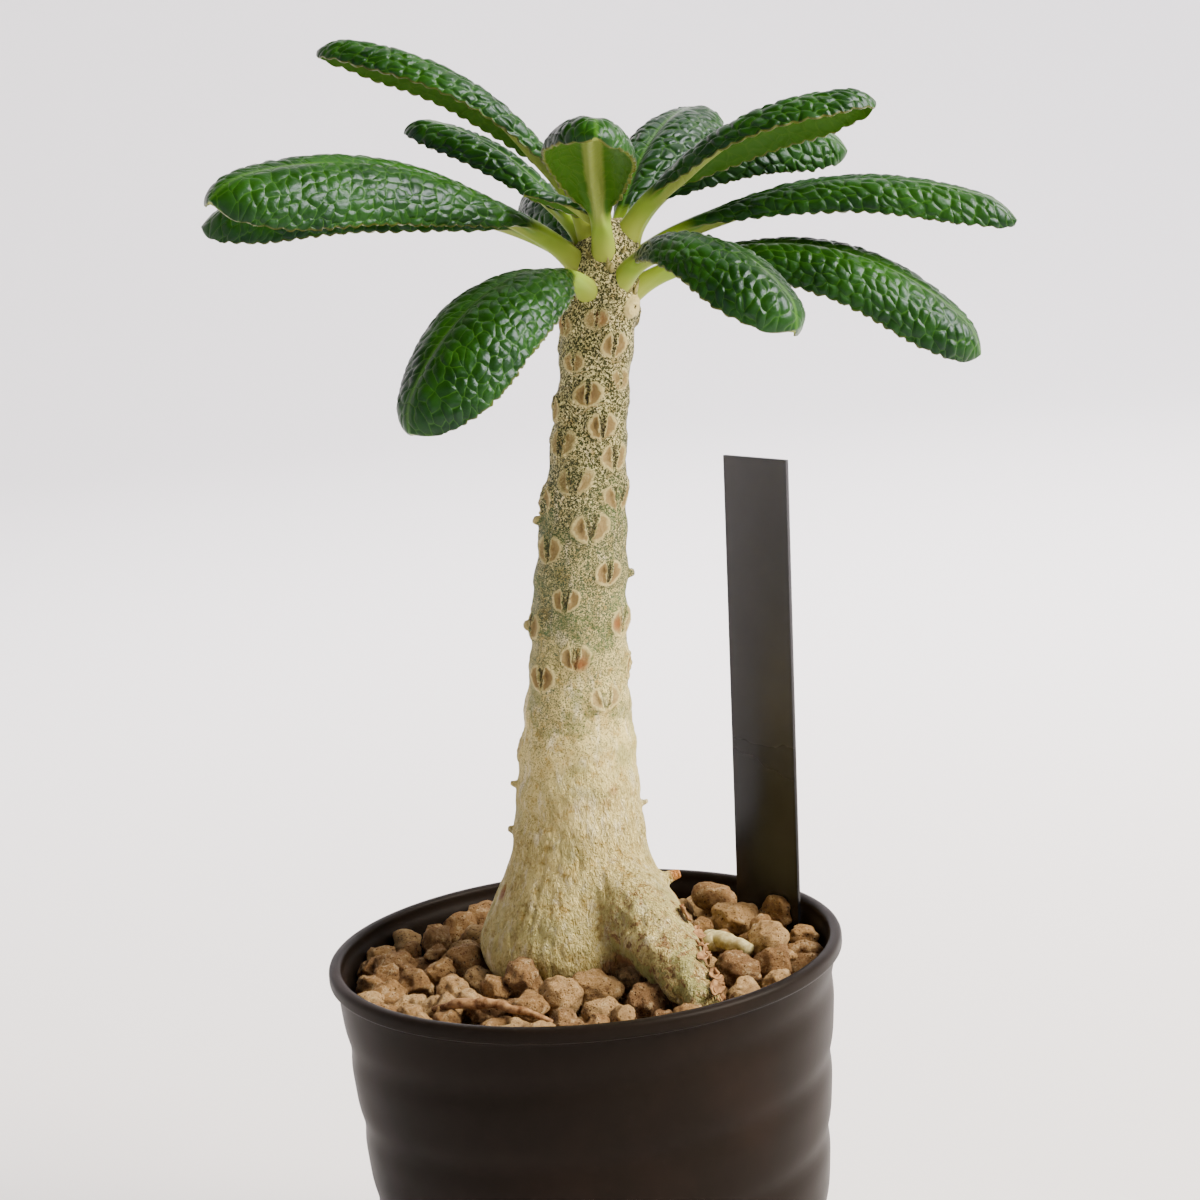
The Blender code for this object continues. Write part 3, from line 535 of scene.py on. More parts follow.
def corkyBark():
    material, add, shader = startMaterial("corkyBark", Roughness=0.74, IOR=1.45, Specular_IOR_Level=0.35)
    place = add("TexCoord").outputs["Object"]
    place = add("VectorMath", {0: place, "Scale": 1000.0}, operation="SCALE")  # millimetres
    height = add("SeparateXYZ", {0: place}).outputs[2]
    form, barkPlace = (add("SeparateXYZ", {0: add("Attribute", attribute_name=name).outputs["Vector"]})
                       for name in ("barkForm", "barkPlace"))
    thorn, lowDown = form.outputs[0], form.outputs[1]
    rootPart, budReach, pitReach = (barkPlace.outputs[k] for k in range(3))
    patches = add("TexNoise", {"Vector": place, "Scale": 0.13, "Detail": 4.0, "Roughness": 0.6})
    swing = add("Math", {0: patches, 1: 40.0, 2: -20.0}, operation="MULTIPLY_ADD")
    level = add("Math", {0: height, 1: swing}, operation="ADD")

    # the patterns: cork specks about half a millimetre wide, clouds, streaks, wrinkles, pocks and rust
    crustNoise = add("TexNoise", {"Vector": place, "Scale": 2.8, "Detail": 3.0, "Roughness": 0.55,
                                  "Distortion": 0.9})
    fineCrust = add("TexNoise", {"Vector": place, "Scale": 4.8, "Distortion": 0.9})
    fineNoise = add("TexNoise", {"Vector": place, "Scale": 0.45, "Detail": 5.0, "Roughness": 0.7})
    clouds = add("TexNoise", {"Vector": place, "Scale": 0.11, "Detail": 6.0, "Roughness": 0.66})
    streaks = add("VectorMath", {0: place, 1: (0.5, 0.5, 0.16)}, operation="MULTIPLY")
    streaks = add("TexNoise", {"Vector": streaks, "Scale": 1.0, "Detail": 6.0, "Roughness": 0.7})
    upright = add("VectorMath", {0: place, 1: (1.0, 1.0, 0.4)}, operation="MULTIPLY")
    wrinkles = add("TexNoise", {"Vector": upright, "Scale": 1.9, "Detail": 3.0, "Roughness": 0.55,
                                "Distortion": 0.8})
    pockCells = add("TexVoronoi", {"Vector": place, "Scale": 0.5})
    rustCells = add("TexVoronoi", {"Vector": place, "Scale": 0.075})
    peel = add("Math", {0: fineNoise, 1: patches}, operation="ADD")
    pitNoise = add("Math", {0: fineNoise, 1: 1.6, 2: pitReach}, operation="MULTIPLY_ADD")

    # shares that go from 0 to 1, or between the two last values, as the pattern goes between the first two
    ramps = {}
    for name, *values in (
            ("top", level, 132.0, 168.0), ("middle", level, 96.0, 130.0),
            ("cover", level, 86.0, 140.0, 0.27, 0.0),
            ("aboveFoot", height, 100.0, 122.0), ("belowTop", height, 172.0, 150.0),
            ("rootLow", height, 90.0, 81.0, 0.08, 0.65), ("grooved", patches, 0.42, 0.62, 0.08, 0.6),
            ("ochre", fineNoise, 0.5, 0.66, 0.0, 0.75), ("chalk", streaks, 0.52, 0.66, 0.0, 0.8),
            ("tint", clouds, 0.5, 0.64, 0.0, 0.45), ("groove", wrinkles, 0.50, 0.40),
            ("heart", fineNoise, 0.38, 0.6), ("flake", fineNoise, 0.55, 0.6, 0.0, 0.8),
            ("peeled", peel, 1.0, 0.98), ("pocks", pockCells, 0.16, 0.09, 0.0, 0.75),
            ("rust", rustCells, 0.15, 0.05, 0.0, 0.85), ("bud", budReach, 2.2, 1.9),
            ("budEye", budReach, 0.42, 0.28),
            ("inPit", pitReach, 1.05, 0.7), ("nearPit", pitNoise, 2.7, 2.4, 0.0, 0.85)):
        ramps[name] = add("MapRange", dict(zip(rampInputs, values)))

    # the skin with its soft rings, and how much of it the crust covers
    crust = add("MapRange", {"Value": ramps["top"], "To Min": fineCrust, "To Max": crustNoise})
    crust = add("Math", {0: crust, 1: ramps["cover"]}, operation="ADD")
    crust = add("MapRange", {"Value": crust, "From Min": 0.49, "From Max": 0.555})
    skin = hexColour(barkTones["skinFoot"])
    for share, tone in ((ramps["middle"], "skinMiddle"), (ramps["top"], "skinTop")):
        skin = add("Mix", {0: share, 6: skin, 7: hexColour(barkTones[tone])}, data_type="RGBA")
    rings = add("Math", {0: level, 1: math.tau / trunk["bandPitch"]}, operation="MULTIPLY")
    rings = add("Math", {0: rings}, operation="SINE")
    rings = add("MapRange", {"Value": rings, "From Min": 0.45, "From Max": 1.0, "To Max": 0.7})
    for share in (ramps["aboveFoot"], ramps["belowTop"]):
        rings = add("Math", {0: rings, 1: share}, operation="MULTIPLY")
    skin = add("Mix", {0: rings, 6: skin, 7: hexColour(barkTones["band"])}, data_type="RGBA")
    thinned = add("Math", {0: rings, 1: -0.7, 2: 1.0}, operation="MULTIPLY_ADD")
    crust = add("Math", {0: crust, 1: thinned}, operation="MULTIPLY")

    # the cork itself: ochre and green-grey clouds, with darker upright grooves on the swollen foot
    groove, pocks = ramps["groove"], ramps["pocks"]
    for share in (ramps["grooved"], lowDown):
        groove = add("Math", {0: groove, 1: share}, operation="MULTIPLY")
        pocks = add("Math", {0: pocks, 1: share}, operation="MULTIPLY")
    cork = hexColour(barkTones["crustFoot"])
    for share, tone in ((ramps["top"], "crustTop"), (ramps["ochre"], "ochre"), (ramps["chalk"], "chalk"),
                        (ramps["tint"], "tint"), (groove, "groove")):
        cork = add("Mix", {0: share, 6: cork, 7: hexColour(barkTones[tone])}, data_type="RGBA")
    colour = add("Mix", {0: crust, 6: skin, 7: cork}, data_type="RGBA")

    # paired leaf scars, drawn from the place that each vertex has on its nearest scar
    scarPlace = add("Attribute", attribute_name="scarPlace").outputs["Vector"]
    shaken = add("TexNoise", {"Vector": place, "Scale": 0.9, "Detail": 3.0})
    shaken = add("VectorMath", {0: shaken.outputs["Color"], 1: (0.5, 0.5, 0.5)}, operation="SUBTRACT")
    shaken = add("VectorMath", {0: shaken, 1: (1.0, 1.0, 0.0), 2: scarPlace}, operation="MULTIPLY_ADD")
    onScar = add("SeparateXYZ", {0: shaken})
    across, along, clear = (onScar.outputs[k] for k in range(3))
    inner = add("Math", {0: along, 1: trunk["scarSplay"], 2: trunk["scarGap"]}, operation="MULTIPLY_ADD")
    inner = add("Math", {0: inner, 1: across}, operation="SUBTRACT")
    inner = add("Math", {0: inner, 1: trunk["scarSteep"], 2: 1.0}, operation="MULTIPLY_ADD")
    disc = (1 / trunk["scarWide"], 1 / trunk["scarTall"], 0.0)
    disc = add("VectorMath", {0: shaken, 1: disc}, operation="MULTIPLY")
    disc = add("VectorMath", {0: disc}, operation="LENGTH").outputs["Value"]
    lobe = add("Math", {0: disc, 1: inner}, operation="MAXIMUM")
    fromCleft, fromMiddle = (add("Math", {0: axis}, operation="ABSOLUTE") for axis in (across, along))
    for name, *values in (
            ("inRim", lobe, 1.2, 1.12), ("inLobe", lobe, 1.0, 0.88), ("inHeart", lobe, 0.85, 0.45),
            ("inCleft", fromCleft, 0.2, 0.06), ("cleftEnd", fromMiddle, 1.9, 1.3)):
        ramps[name] = add("MapRange", dict(zip(rampInputs, values)))
    for inside, share in (("inHeart", "heart"), ("inCleft", "cleftEnd")):
        ramps[inside] = add("Math", {0: ramps[inside], 1: ramps[share]}, operation="MULTIPLY")
    # the near-black cleft colour along the lobes' inner edges is painted shade in the crack between them
    for inside, tone, strength in (("inRim", "scarRim", 0.9), ("inLobe", "scar", 0.85),
                                   ("inHeart", "scarDeep", 0.8), ("inCleft", "cleft", 0.9)):
        share = add("Math", {0: ramps[inside], 1: clear}, operation="MULTIPLY")
        share = add("Math", {0: share, 1: strength}, operation="MULTIPLY")
        colour = add("Mix", {0: share, 6: colour, 7: hexColour(barkTones[tone])}, data_type="RGBA")

    # pocks and rust, the round bud scar, the green root with dead flakes, the pit beside it darkened with
    # painted shade, and the thorns
    green = add("Math", {0: rootPart, 1: ramps["peeled"]}, operation="MULTIPLY")
    green = add("Math", {0: green, 1: ramps["rootLow"]}, operation="MULTIPLY")
    peelEdge = add("Math", {0: peel, 1: 1.005}, operation="SUBTRACT")
    peelEdge = add("Math", {0: peelEdge}, operation="ABSOLUTE")
    peelEdge = add("MapRange", {"Value": peelEdge, "From Min": 0.02, "From Max": 0.008, "To Max": 0.8})
    peelEdge = add("Math", {0: peelEdge, 1: rootPart}, operation="MULTIPLY")
    flake = add("Math", {0: rootPart, 1: ramps["flake"]}, operation="MULTIPLY")
    for share, tone in (
            (pocks, "cleft"), (ramps["rust"], "rust"), (ramps["bud"], "scarRim"), (ramps["budEye"], "cleft"),
            (green, "rootGreen"), (peelEdge, "deadEdge"), (flake, "flake"), (ramps["nearPit"], "deadEdge"),
            (ramps["inPit"], "pit"), (thorn, "thorn")):
        colour = add("Mix", {0: share, 6: colour, 7: hexColour(barkTones[tone])}, data_type="RGBA")

    speckRelief = add("Math", {0: crust, 1: 0.6}, operation="MULTIPLY")
    wrinkleRelief = add("Math", {0: lowDown, 1: 6.4, 2: 0.6}, operation="MULTIPLY_ADD")
    relief = add("Math", {0: wrinkles, 1: wrinkleRelief, 2: speckRelief}, operation="MULTIPLY_ADD")
    relief = add("Math", {0: green, 1: -0.9, 2: relief}, operation="MULTIPLY_ADD")
    bump = add("Bump", {"Height": relief, "Strength": 1.0, "Distance": 0.00032})
    setInputs(shader, {"Base Color": colour, "Normal": bump})
    return material


dress(buildTrunk(), corkyBark(), "tan_bark", "stem")
print("trunk done")


# the filling: a bed of the clay darkened with painted shade, with clay granules dropped on it one by one

filling = {
    "bedTop": 68.8, "bedCrown": 0.5, "slack": 0.35,
    "spots": 16, "radii": (2.0, 3.9), "likely": 2.9, "squeeze": 0.86, "fineAbove": 73.6, "back": 16.0,
    "layers": ((240, 74.6), (900, 78.4)),    # drops and highest top, of the low layer and of the rest
    "reach": 42.0, "highest": 81.5, "trunkRoom": 17.6, "overlap": 0.72,
    "flats": 9, "flatDepth": 0.88,
    "ripples": ((2.2, 0.06), (4.5, 0.045), (9.0, 0.032), (17.0, 0.018)),    # how close, and how high
    # granules that show in front and on the right: x, y, z, radius
    "placed": (
        (-10.3, -13.0, 77.6, 4.1), (-15.9, -13.2, 76.6, 2.5), (-4.7, -20.1, 76.8, 3.7),
        (1.7, -18.0, 77.2, 3.5), (7.6, -15.2, 76.4, 2.6), (10.1, -23.5, 76.2, 3.4),
        (-9.7, -22.7, 75.8, 2.8), (3.0, -25.6, 75.6, 3.0), (-22.7, -11.1, 76.6, 3.4),
        (-25.8, -0.5, 76.4, 2.5), (-29.7, -5.5, 76.2, 3.0), (-33.5, 4.8, 76.2, 3.1),
        (-27.1, 16.5, 76.6, 3.0), (-19.8, 32.9, 76.0, 3.0), (-30.2, -13.2, 75.6, 2.1),
        (-37.6, -3.4, 75.6, 2.3), (-38.3, 6.2, 75.6, 2.5), (-32.7, 20.6, 75.8, 2.7),
        (-20.6, 3.2, 76.8, 3.0), (-16.9, -21.4, 75.6, 2.9), (-26.2, -16.6, 75.6, 2.3),
        (23.7, 25.2, 78.0, 3.7), (27.2, 13.6, 78.0, 3.5), (32.4, -0.7, 77.6, 3.4), (35.4, 14.4, 78.2, 3.4),
        (32.4, -11.7, 77.0, 3.7), (25.8, -15.1, 77.2, 3.4), (38.8, 3.7, 77.0, 2.4),
        (26.6, -21.6, 76.0, 2.4), (20.7, 11.3, 77.0, 2.2), (31.4, 7.6, 77.6, 2.6), (25.0, -7.4, 76.6, 2.2)),
    "tones": ("b18d5e", "96734b", "c29f6e", "856442", "a88355"), "dark": "64472e", "light": "d8be92",
    "pore": "45301d",
    "paleRoot": ((19.5, 5.8, 75.8, 1.7), (22.2, 2.6, 77.6, 1.9), (25, 0.4, 78, 1.6), (28.6, -2.6, 76.8, 1.2)),
}


def buildBed():
    bed = filling["bedTop"]
    side = [(innerRadius(z) - filling["slack"], z) for z in np.linspace(bed, 5, 12)]
    rings = np.linspace(0, side[0][0] - 0.5, 40)
    outline = [(r, bed + filling["bedCrown"] * (1 - r / filling["reach"])) for r in rings]
    outline += side + [(side[-1][0] - 2.5, pot["floor"] + 0.3), (0, pot["floor"] + 0.3)]
    piece = spun("granule_bed", outline, 128)
    points = readPoints(piece)
    fromWall = filling["reach"] - np.hypot(points[:, 0], points[:, 1])
    top = smoothStep(66, 68, points[:, 2]) * smoothStep(0, 2, fromWall)
    points[:, 2] += top * (0.8 * noiseAt(points * (1, 1, 0), 4.0) + 0.4 * noiseAt(points * (1, 1, 0), 1.6))
    writePoints(piece, points)
    return piece


def isClear(x, y, radius):  # room beside the trunk, the root, the tag and the pot's wall
    if math.hypot(x, y) + radius > innerRadius(75) - 0.2:
        return False
    if math.hypot(x, y - trunk["y"]) < filling["trunkRoom"] + filling["overlap"] * radius:
        return False
    if rootDistance(np.array([[x, y, 77.0]]))[0] < filling["overlap"] * radius:
        return False
    if min(math.dist((x, y), spot[:2]) for spot in filling["paleRoot"]) < 0.7 * radius + 1.6:
        return False
    turn = math.radians(tag["turn"])
    dx, dy = x - tag["foot"][0], y - tag["foot"][1]
    beside = abs(-dx * math.sin(turn) + dy * math.cos(turn))
    along = abs(dx * math.cos(turn) + dy * math.sin(turn))
    return beside > 0.75 * radius + tag["thickness"] or along > tag["width"] / 2 + 0.8 * radius


def dropOne(draw, resting):  # it falls on the lowest of some spots, so the bed fills up evenly
    radius = draw.triangular(*filling["radii"], filling["likely"])
    best = None
    for _ in range(filling["spots"]):
        angle, out = draw.uniform(0, math.tau), filling["reach"] * math.sqrt(draw.uniform(0.04, 1))
        x, y = out * math.cos(angle), out * math.sin(angle)
        if not isClear(x, y, radius):
            continue
        z = filling["bedTop"] + 0.6 * radius
        if resting:
            others = np.array(resting)
            gap = (others[:, 3] + radius) * filling["squeeze"]
            flat = np.hypot(others[:, 0] - x, others[:, 1] - y)
            under = flat < gap
            if under.any():
                z = max(z, (others[under, 2] + np.sqrt(gap[under] ** 2 - flat[under] ** 2)).max())
        if best is None or z < best[2]:
            best = (x, y, z, radius)
    return best


def droppedGranules(draw):  # a low layer, then the placed ones, then more wherever there is room
    resting = []
    for layer, (drops, top) in enumerate(filling["layers"]):
        if layer:
            resting += filling["placed"]
        for _ in range(drops):
            granule = dropOne(draw, resting)
            if granule and granule[2] + 0.9 * granule[3] < top:
                resting.append(granule)
    return resting


def granuleShape(template, draw):  # a tumbled lump: a ball with flats, dents and a stretch
    points = template.copy()
    spin = np.random.default_rng(draw.randrange(10 ** 6))
    for _ in range(filling["flats"]):
        way = spin.normal(size=3)
        way /= np.linalg.norm(way)
        over = np.maximum(points @ way - spin.uniform(0.62, 0.92), 0)
        points -= np.outer(over * filling["flatDepth"], way)
    ripple = np.zeros(len(points))
    for pitch, height in filling["ripples"]:
        for _ in range(3):
            way = spin.normal(size=3)
            ripple += height * np.sin(points @ (way / np.linalg.norm(way)) * pitch + spin.uniform(0, 6.28))
    points *= (1.09 + ripple)[:, None]
    points *= (spin.uniform(1.0, 1.28), spin.uniform(0.84, 1.04), spin.uniform(0.78, 0.98))
    turn = Matrix.Rotation(spin.uniform(0, 6.28), 3, "Z") @ Matrix.Rotation(spin.uniform(-0.7, 0.7), 3, "X")
    return points @ np.array(turn).T


def ballTemplate(subdivisions):
    bpy.ops.mesh.primitive_ico_sphere_add(subdivisions=subdivisions, radius=mm)
    ball = bpy.context.object
    points = readPoints(ball)
    faces = np.array([face.vertices[:] for face in ball.data.polygons])
    bpy.data.objects.remove(ball)
    return points, faces


def buildGranules():
    draw = random.Random(23)
    buried, behind, shown = (ballTemplate(k) for k in (2, 3, 4))
    allPoints, allFaces, tones, first = [], [], [], 0
    for x, y, z, radius in droppedGranules(draw):
        template, faces = buried if z < filling["fineAbove"] else behind if y > filling["back"] else shown
        points = granuleShape(template, draw) * radius
        outward = points / np.linalg.norm(points, axis=1)[:, None]
        pitted = 0.4 * noiseAt(points, 2.0, radius * 7) + 0.26 * noiseAt(points, 1.1, radius * 3)
        points = points + outward * pitted[:, None] + (x, y, z)
        points[:, 2] = np.minimum(points[:, 2], filling["highest"])
        reach = np.hypot(points[:, 0], points[:, 1])
        room = innerRadius(points[:, 2]) - 0.25
        points[:, :2] *= np.minimum(1, room / np.maximum(reach, 1e-6))[:, None]
        allPoints.append(points)
        allFaces.append(faces + first)
        tones.append(np.tile((draw.random(), draw.random(), draw.random()), (len(points), 1)))
        first += len(points)
    piece = meshPiece("clay_granules", np.concatenate(allPoints), faces=np.concatenate(allFaces).tolist())
    addVectors(piece, "granuleTone", np.concatenate(tones))
    print("granules:", len(tones), "with", len(piece.data.polygons), "faces")
    return piece


# Baked clay granules: dry, dusty and quite matt, ochre to brown, full of pores and grit half a
# millimetre wide, with pale dust on the high places.
def bakedClay(name, shade):
    material, add, shader = startMaterial(name, Roughness=0.95, IOR=1.45, Specular_IOR_Level=0.2)
    place = add("TexCoord").outputs["Object"]
    place = add("VectorMath", {0: place, "Scale": 1000.0}, operation="SCALE")  # millimetres
    own = add("Attribute", attribute_name="granuleTone").outputs["Vector"]
    colour = add("ValToRGB", {0: add("SeparateXYZ", {0: own}).outputs[0]})
    elements = colour.color_ramp.elements
    for k, code in enumerate(filling["tones"]):
        spot = elements[k] if k < 2 else elements.new(0.5)
        spot.color = hexColour(code)
    for k, spot in enumerate(sorted(elements, key=lambda e: e.position)):
        spot.position = k / (len(filling["tones"]) - 1)
    shifted = add("VectorMath", {0: own, 1: (40.0, 40.0, 40.0), 2: place}, operation="MULTIPLY_ADD")
    mottle = add("TexNoise", {"Vector": shifted, "Scale": 0.6, "Detail": 7.0, "Roughness": 0.78})
    pores = add("TexVoronoi", {"Vector": shifted, "Scale": 1.5, "Randomness": 1.0})
    grit = add("TexNoise", {"Vector": shifted, "Scale": 1.5, "Detail": 5.0, "Roughness": 0.85})
    dark, light, pore, gritShare = (add("MapRange", dict(zip(rampInputs, values))) for values in (
        (mottle, 0.50, 0.66, 0.0, 0.8), (mottle, 0.47, 0.36, 0.0, 0.7), (pores, 0.34, 0.16),
        (grit, 0.46, 0.56)))
    pore = add("Math", {0: pore, 1: gritShare}, operation="MULTIPLY")
    for share, tone in ((dark, "dark"), (light, "light"), (pore, "pore")):
        colour = add("Mix", {0: share, 6: colour, 7: hexColour(filling[tone])}, data_type="RGBA")
    # shade multiplies the colour as painted shade: white for the granules, dark for the bed between them
    shaded = add("Mix", {0: 1.0, 6: colour, 7: shade}, data_type="RGBA", blend_type="MULTIPLY")
    relief = add("Math", {0: pore, 1: -0.7, 2: grit}, operation="MULTIPLY_ADD")
    bump = add("Bump", {"Height": relief, "Strength": 1.0, "Distance": 0.0011})
    setInputs(shader, {"Base Color": shaded, "Normal": bump})
    return material


# the bed is the granule clay darkened with painted shade, for the gaps between the granules
dress(buildBed(), bakedClay("bakedClayPaintedShade", (0.28, 0.25, 0.22, 1)), "clay_granules", "soil")
dress(buildGranules(), bakedClay("bakedClay", (1, 1, 1, 1)), "clay_granules", "soil")
print("filling done")


# the leaves: a round petiole that opens into a long arched blade with a puckered face

leafForm = {
    "rows": 168, "columns": 62, "small": (30, 70, 20),    # below the first length: fewer rows and columns
    "tipRows": 0.8, "tipFrom": 0.84, "tipEnd": 0.9988,    # the last fifth of the rows crowds up to the tip
    "columnBend": 0.9, "crestsMeet": (0.55, 0.97), "ribWidth": 1.7, "petioleRadius": 1.85,
    "petioleDrop": 0.3, "thickness": 0.85, "fullSized": 8.0,
    "bladeStart": 0.08, "bladeFull": 0.30, "slowness": 1.9, "widensTo": 0.62, "narrowsFrom": 0.60,
    "bluntness": 3.2,
    "crestSlope": 14.0, "marginSlope": -82.0, "midribChannel": 0.45, "ribDepth": 2.6, "ribTaper": 0.9,
    "hoodFrom": 0.9, "hoodDrop": 2.2, "rolledAt": 0.45, "scallopLong": 2.6, "scallopReach": 0.42,
    "cellWide": 2.9, "cellLong": 2.35, "veinSlant": 0.42, "edgeDenser": 0.03, "puckerHeight": 0.37,
    "petioleTurn": 84, "petioleGroove": 0.22, "flare": 0.25, "flareLong": 0.05,
    "cellRim": 0.26, "cellTilt": 1.5,    # how wide a cell's edge falls off, and how far its top leans
}
# name, azimuth, drift, height, launch, tip, length, half width, roll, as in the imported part
leaves = (
    ("leaf_01", 355, -10.6, 192.4, 31.2, -56, 69, 12.3, -13),
    ("leaf_02", 244, -23, 192.8, 30.7, -64, 62.7, 15.2, -1),
    ("leaf_03", 306, 0, 194.0, 39, -52.7, 54, 13.8, 18),
    ("leaf_04", 102, 0, 194.6, 50, -10, 48, 9.5, 0),
    ("leaf_05", 167, 18, 198.0, 38.5, -17, 70, 12.2, 12),
    ("leaf_06", 205.5, 13, 197.0, 46, -15.5, 74, 14.2, 19),
    ("leaf_07", 1, -12, 197.0, 34.3, -27, 70.5, 9.1, -10),
    ("leaf_08", 64, -0.5, 197.6, 64.7, -6, 54, 10.4, -0.5),
    ("leaf_09", 265, 9, 198.7, 64, -10, 52.5, 10.2, 11),
    ("leaf_10", 147.5, 5.7, 199.9, 61, 10, 44, 7.4, 0),
    ("leaf_11", 26, -24.3, 200.2, 61.4, -23.5, 49, 10.2, -18),
    ("leaf_12", 194, -25, 202.2, 73, 6, 60, 9.4, -10),
    ("leaf_13", 341, 21.7, 202.2, 54, -3.8, 50.6, 10.1, 14.5),
    ("young_leaf_1", 240, -36, 202.8, 44, 10, 19, 3.4, 0),
    ("young_leaf_2", 95, 0, 203.6, 82, 66, 15, 3.0, 0),
)


def bladeWidth(along):
    u = np.maximum((along - leafForm["bladeStart"]) / (1 - leafForm["bladeStart"]), 0)
    opening = 1 - (1 - np.minimum(u / leafForm["widensTo"], 1)) ** leafForm["slowness"]
    late = np.maximum(u - leafForm["narrowsFrom"], 0) / (1 - leafForm["narrowsFrom"])
    return opening * np.sqrt(np.maximum(1 - late ** leafForm["bluntness"], 0))


def midribFrames(azimuth, drift, height, launch, tip, length, roll, along):
    start, fine = math.radians(azimuth), np.linspace(0, 1, 600)
    directions = []
    for share in (fine, along):
        rise = np.radians(launch + (tip - launch) * share)
        heading = start + math.radians(drift) * share
        flat = np.cos(rise)
        directions.append(np.stack([flat * np.cos(heading), flat * np.sin(heading), np.sin(rise)], 1))
    fineAhead, ahead = directions
    steps = (fineAhead[1:] + fineAhead[:-1]) / 2 * length / (len(fine) - 1)
    walk = np.concatenate([[np.zeros(3)], np.cumsum(steps, 0)])
    inside = 0.55 * float(smoothCurve(trunk["profile"], height))
    origin = np.array(besideTrunk(height, start, inside))
    middle = origin + np.stack([np.interp(along, fine, walk[:, k]) for k in range(3)], 1)
    side = np.stack([np.sin(heading), -np.cos(heading), np.zeros(len(along))], 1)
    up = np.cross(side, ahead)
    turn = (np.radians(roll) * np.minimum(along / leafForm["rolledAt"], 1))[:, None]
    return middle, side * np.cos(turn) + up * np.sin(turn), up * np.cos(turn) - side * np.sin(turn)


def buildLeaf(index, name, azimuth, drift, height, launch, tip, length, halfWidth, roll):
    size = min(halfWidth / leafForm["fullSized"], 1)
    shortest, *small = leafForm["small"]
    rows, columns = (leafForm["rows"], leafForm["columns"]) if length > shortest else small
    t, tipRows, tipFrom = np.linspace(0, 1, rows), leafForm["tipRows"], leafForm["tipFrom"]
    crowded = np.sin(math.pi / 2 * (t - tipRows) / (1 - tipRows))
    along = np.where(t < tipRows, t * tipFrom / tipRows, tipFrom + (leafForm["tipEnd"] - tipFrom) * crowded)
    blade = smoothStep(leafForm["bladeStart"], leafForm["bladeFull"], along)[:, None]
    width = np.maximum(halfWidth * bladeWidth(along), 0.35)[:, None]
    f, quarter = np.linspace(-1, 1, columns), math.pi / 2 * leafForm["columnBend"]
    f = (0.6 * f + 0.4 * np.sin(f * quarter) / math.sin(quarter))[None, :]    # -1 and 1 at the margins
    even = smoothStep(*leafForm["crestsMeet"], along)[:, None]    # the two crests run together at the tip
    first, last = math.radians(leafForm["crestSlope"]) * (1 - even), math.radians(leafForm["marginSlope"])
    slope = first + (last - first) * np.abs(f)
    bend = width / (last - first)
    across = np.sign(f) * bend * (np.sin(slope) - np.sin(first))
    rise = bend * (np.cos(first) - np.cos(slope))
    scallop = np.abs(np.sin(math.pi * along[:, None] * length / leafForm["scallopLong"] + np.sign(f))) - 0.6
    scallop = scallop * leafForm["scallopReach"] * size * blade * smoothStep(0.72, 1, np.abs(f))
    across, rise = across + scallop * np.cos(slope) * np.sign(f), rise + scallop * np.sin(slope)
    arc = f * width
    normalX, normalZ = -np.sin(slope) * np.sign(f + 1e-9), np.cos(slope)
    blunt = np.exp(-(arc / 0.9) ** 2)
    normalX, normalZ = normalX * (1 - blunt), normalZ * (1 - blunt) + blunt
    narrow = np.minimum(width / halfWidth * 1.6, 1)
    lift = -leafForm["midribChannel"] * size * blade * narrow * (1 - 0.7 * even) * np.exp(-(arc / 0.85) ** 2)
    rib = leafForm["ribDepth"] * size * np.maximum(1 - along[:, None], 0.02) ** leafForm["ribTaper"]
    thick = leafForm["thickness"] * (0.75 + 0.25 * size) * (1 - 0.35 * np.abs(f) ** 3)
    thick = thick + rib * np.exp(-(arc / (leafForm["ribWidth"] * size * (1 - 0.45 * along[:, None]))) ** 2)
    over = (across + lift * normalX, rise + lift * normalZ)
    under = (over[0] - thick * normalX, over[1] - thick * normalZ)
    flare = 1 + leafForm["flare"] * np.exp(-(along[:, None] / leafForm["flareLong"]) ** 2)
    petiole = leafForm["petioleRadius"] * size * (1 - 0.25 * along[:, None]) * flare
    angle = np.radians(90 - leafForm["petioleTurn"] * f)
    drop = leafForm["petioleDrop"]
    groove = leafForm["petioleGroove"] * np.exp(-(f / 0.35) ** 2)
    stalkOver = (petiole * np.cos(angle), petiole * (np.sin(angle) * (1 - groove) - drop))
    stalkUnder = (petiole * np.cos(angle), -petiole * (np.sin(angle) + drop))
    section = []
    for bladePart, stalkPart in ((over, stalkOver), (under, stalkUnder)):
        section.append([blade * b + (1 - blade) * s for b, s in zip(bladePart, stalkPart)])
    flat = [np.concatenate([section[0][k], section[1][k][:, ::-1]], 1) for k in range(2)]
    middle, side, up = midribFrames(azimuth, drift, height, launch, tip, length, roll, along)
    late = np.maximum(along - leafForm["hoodFrom"], 0) / (1 - leafForm["hoodFrom"])
    middle = middle - up * (leafForm["hoodDrop"] * size * late ** 2)[:, None]
    rings = middle[:, None] + flat[0][..., None] * side[:, None] + flat[1][..., None] * up[:, None]

    count, total = 2 * columns, 2 * columns * rows
    number = np.arange(total).reshape(rows, count)
    turned = np.roll(number, -1, 1)
    walls = np.stack([number[:-1], turned[:-1], turned[1:], number[1:]], -1).reshape(-1, 4)
    ends = []
    for row in (number[0].tolist(), number[-1].tolist()):
        ends += [(row[k], row[k + 1], row[count - 2 - k], row[count - 1 - k]) for k in range(columns - 1)]
    piece = meshPiece(name + "_blade", rings.reshape(-1, 3), faces=walls.tolist() + ends)
    editAll(piece, bpy.ops.mesh.normals_make_consistent, inside=False)

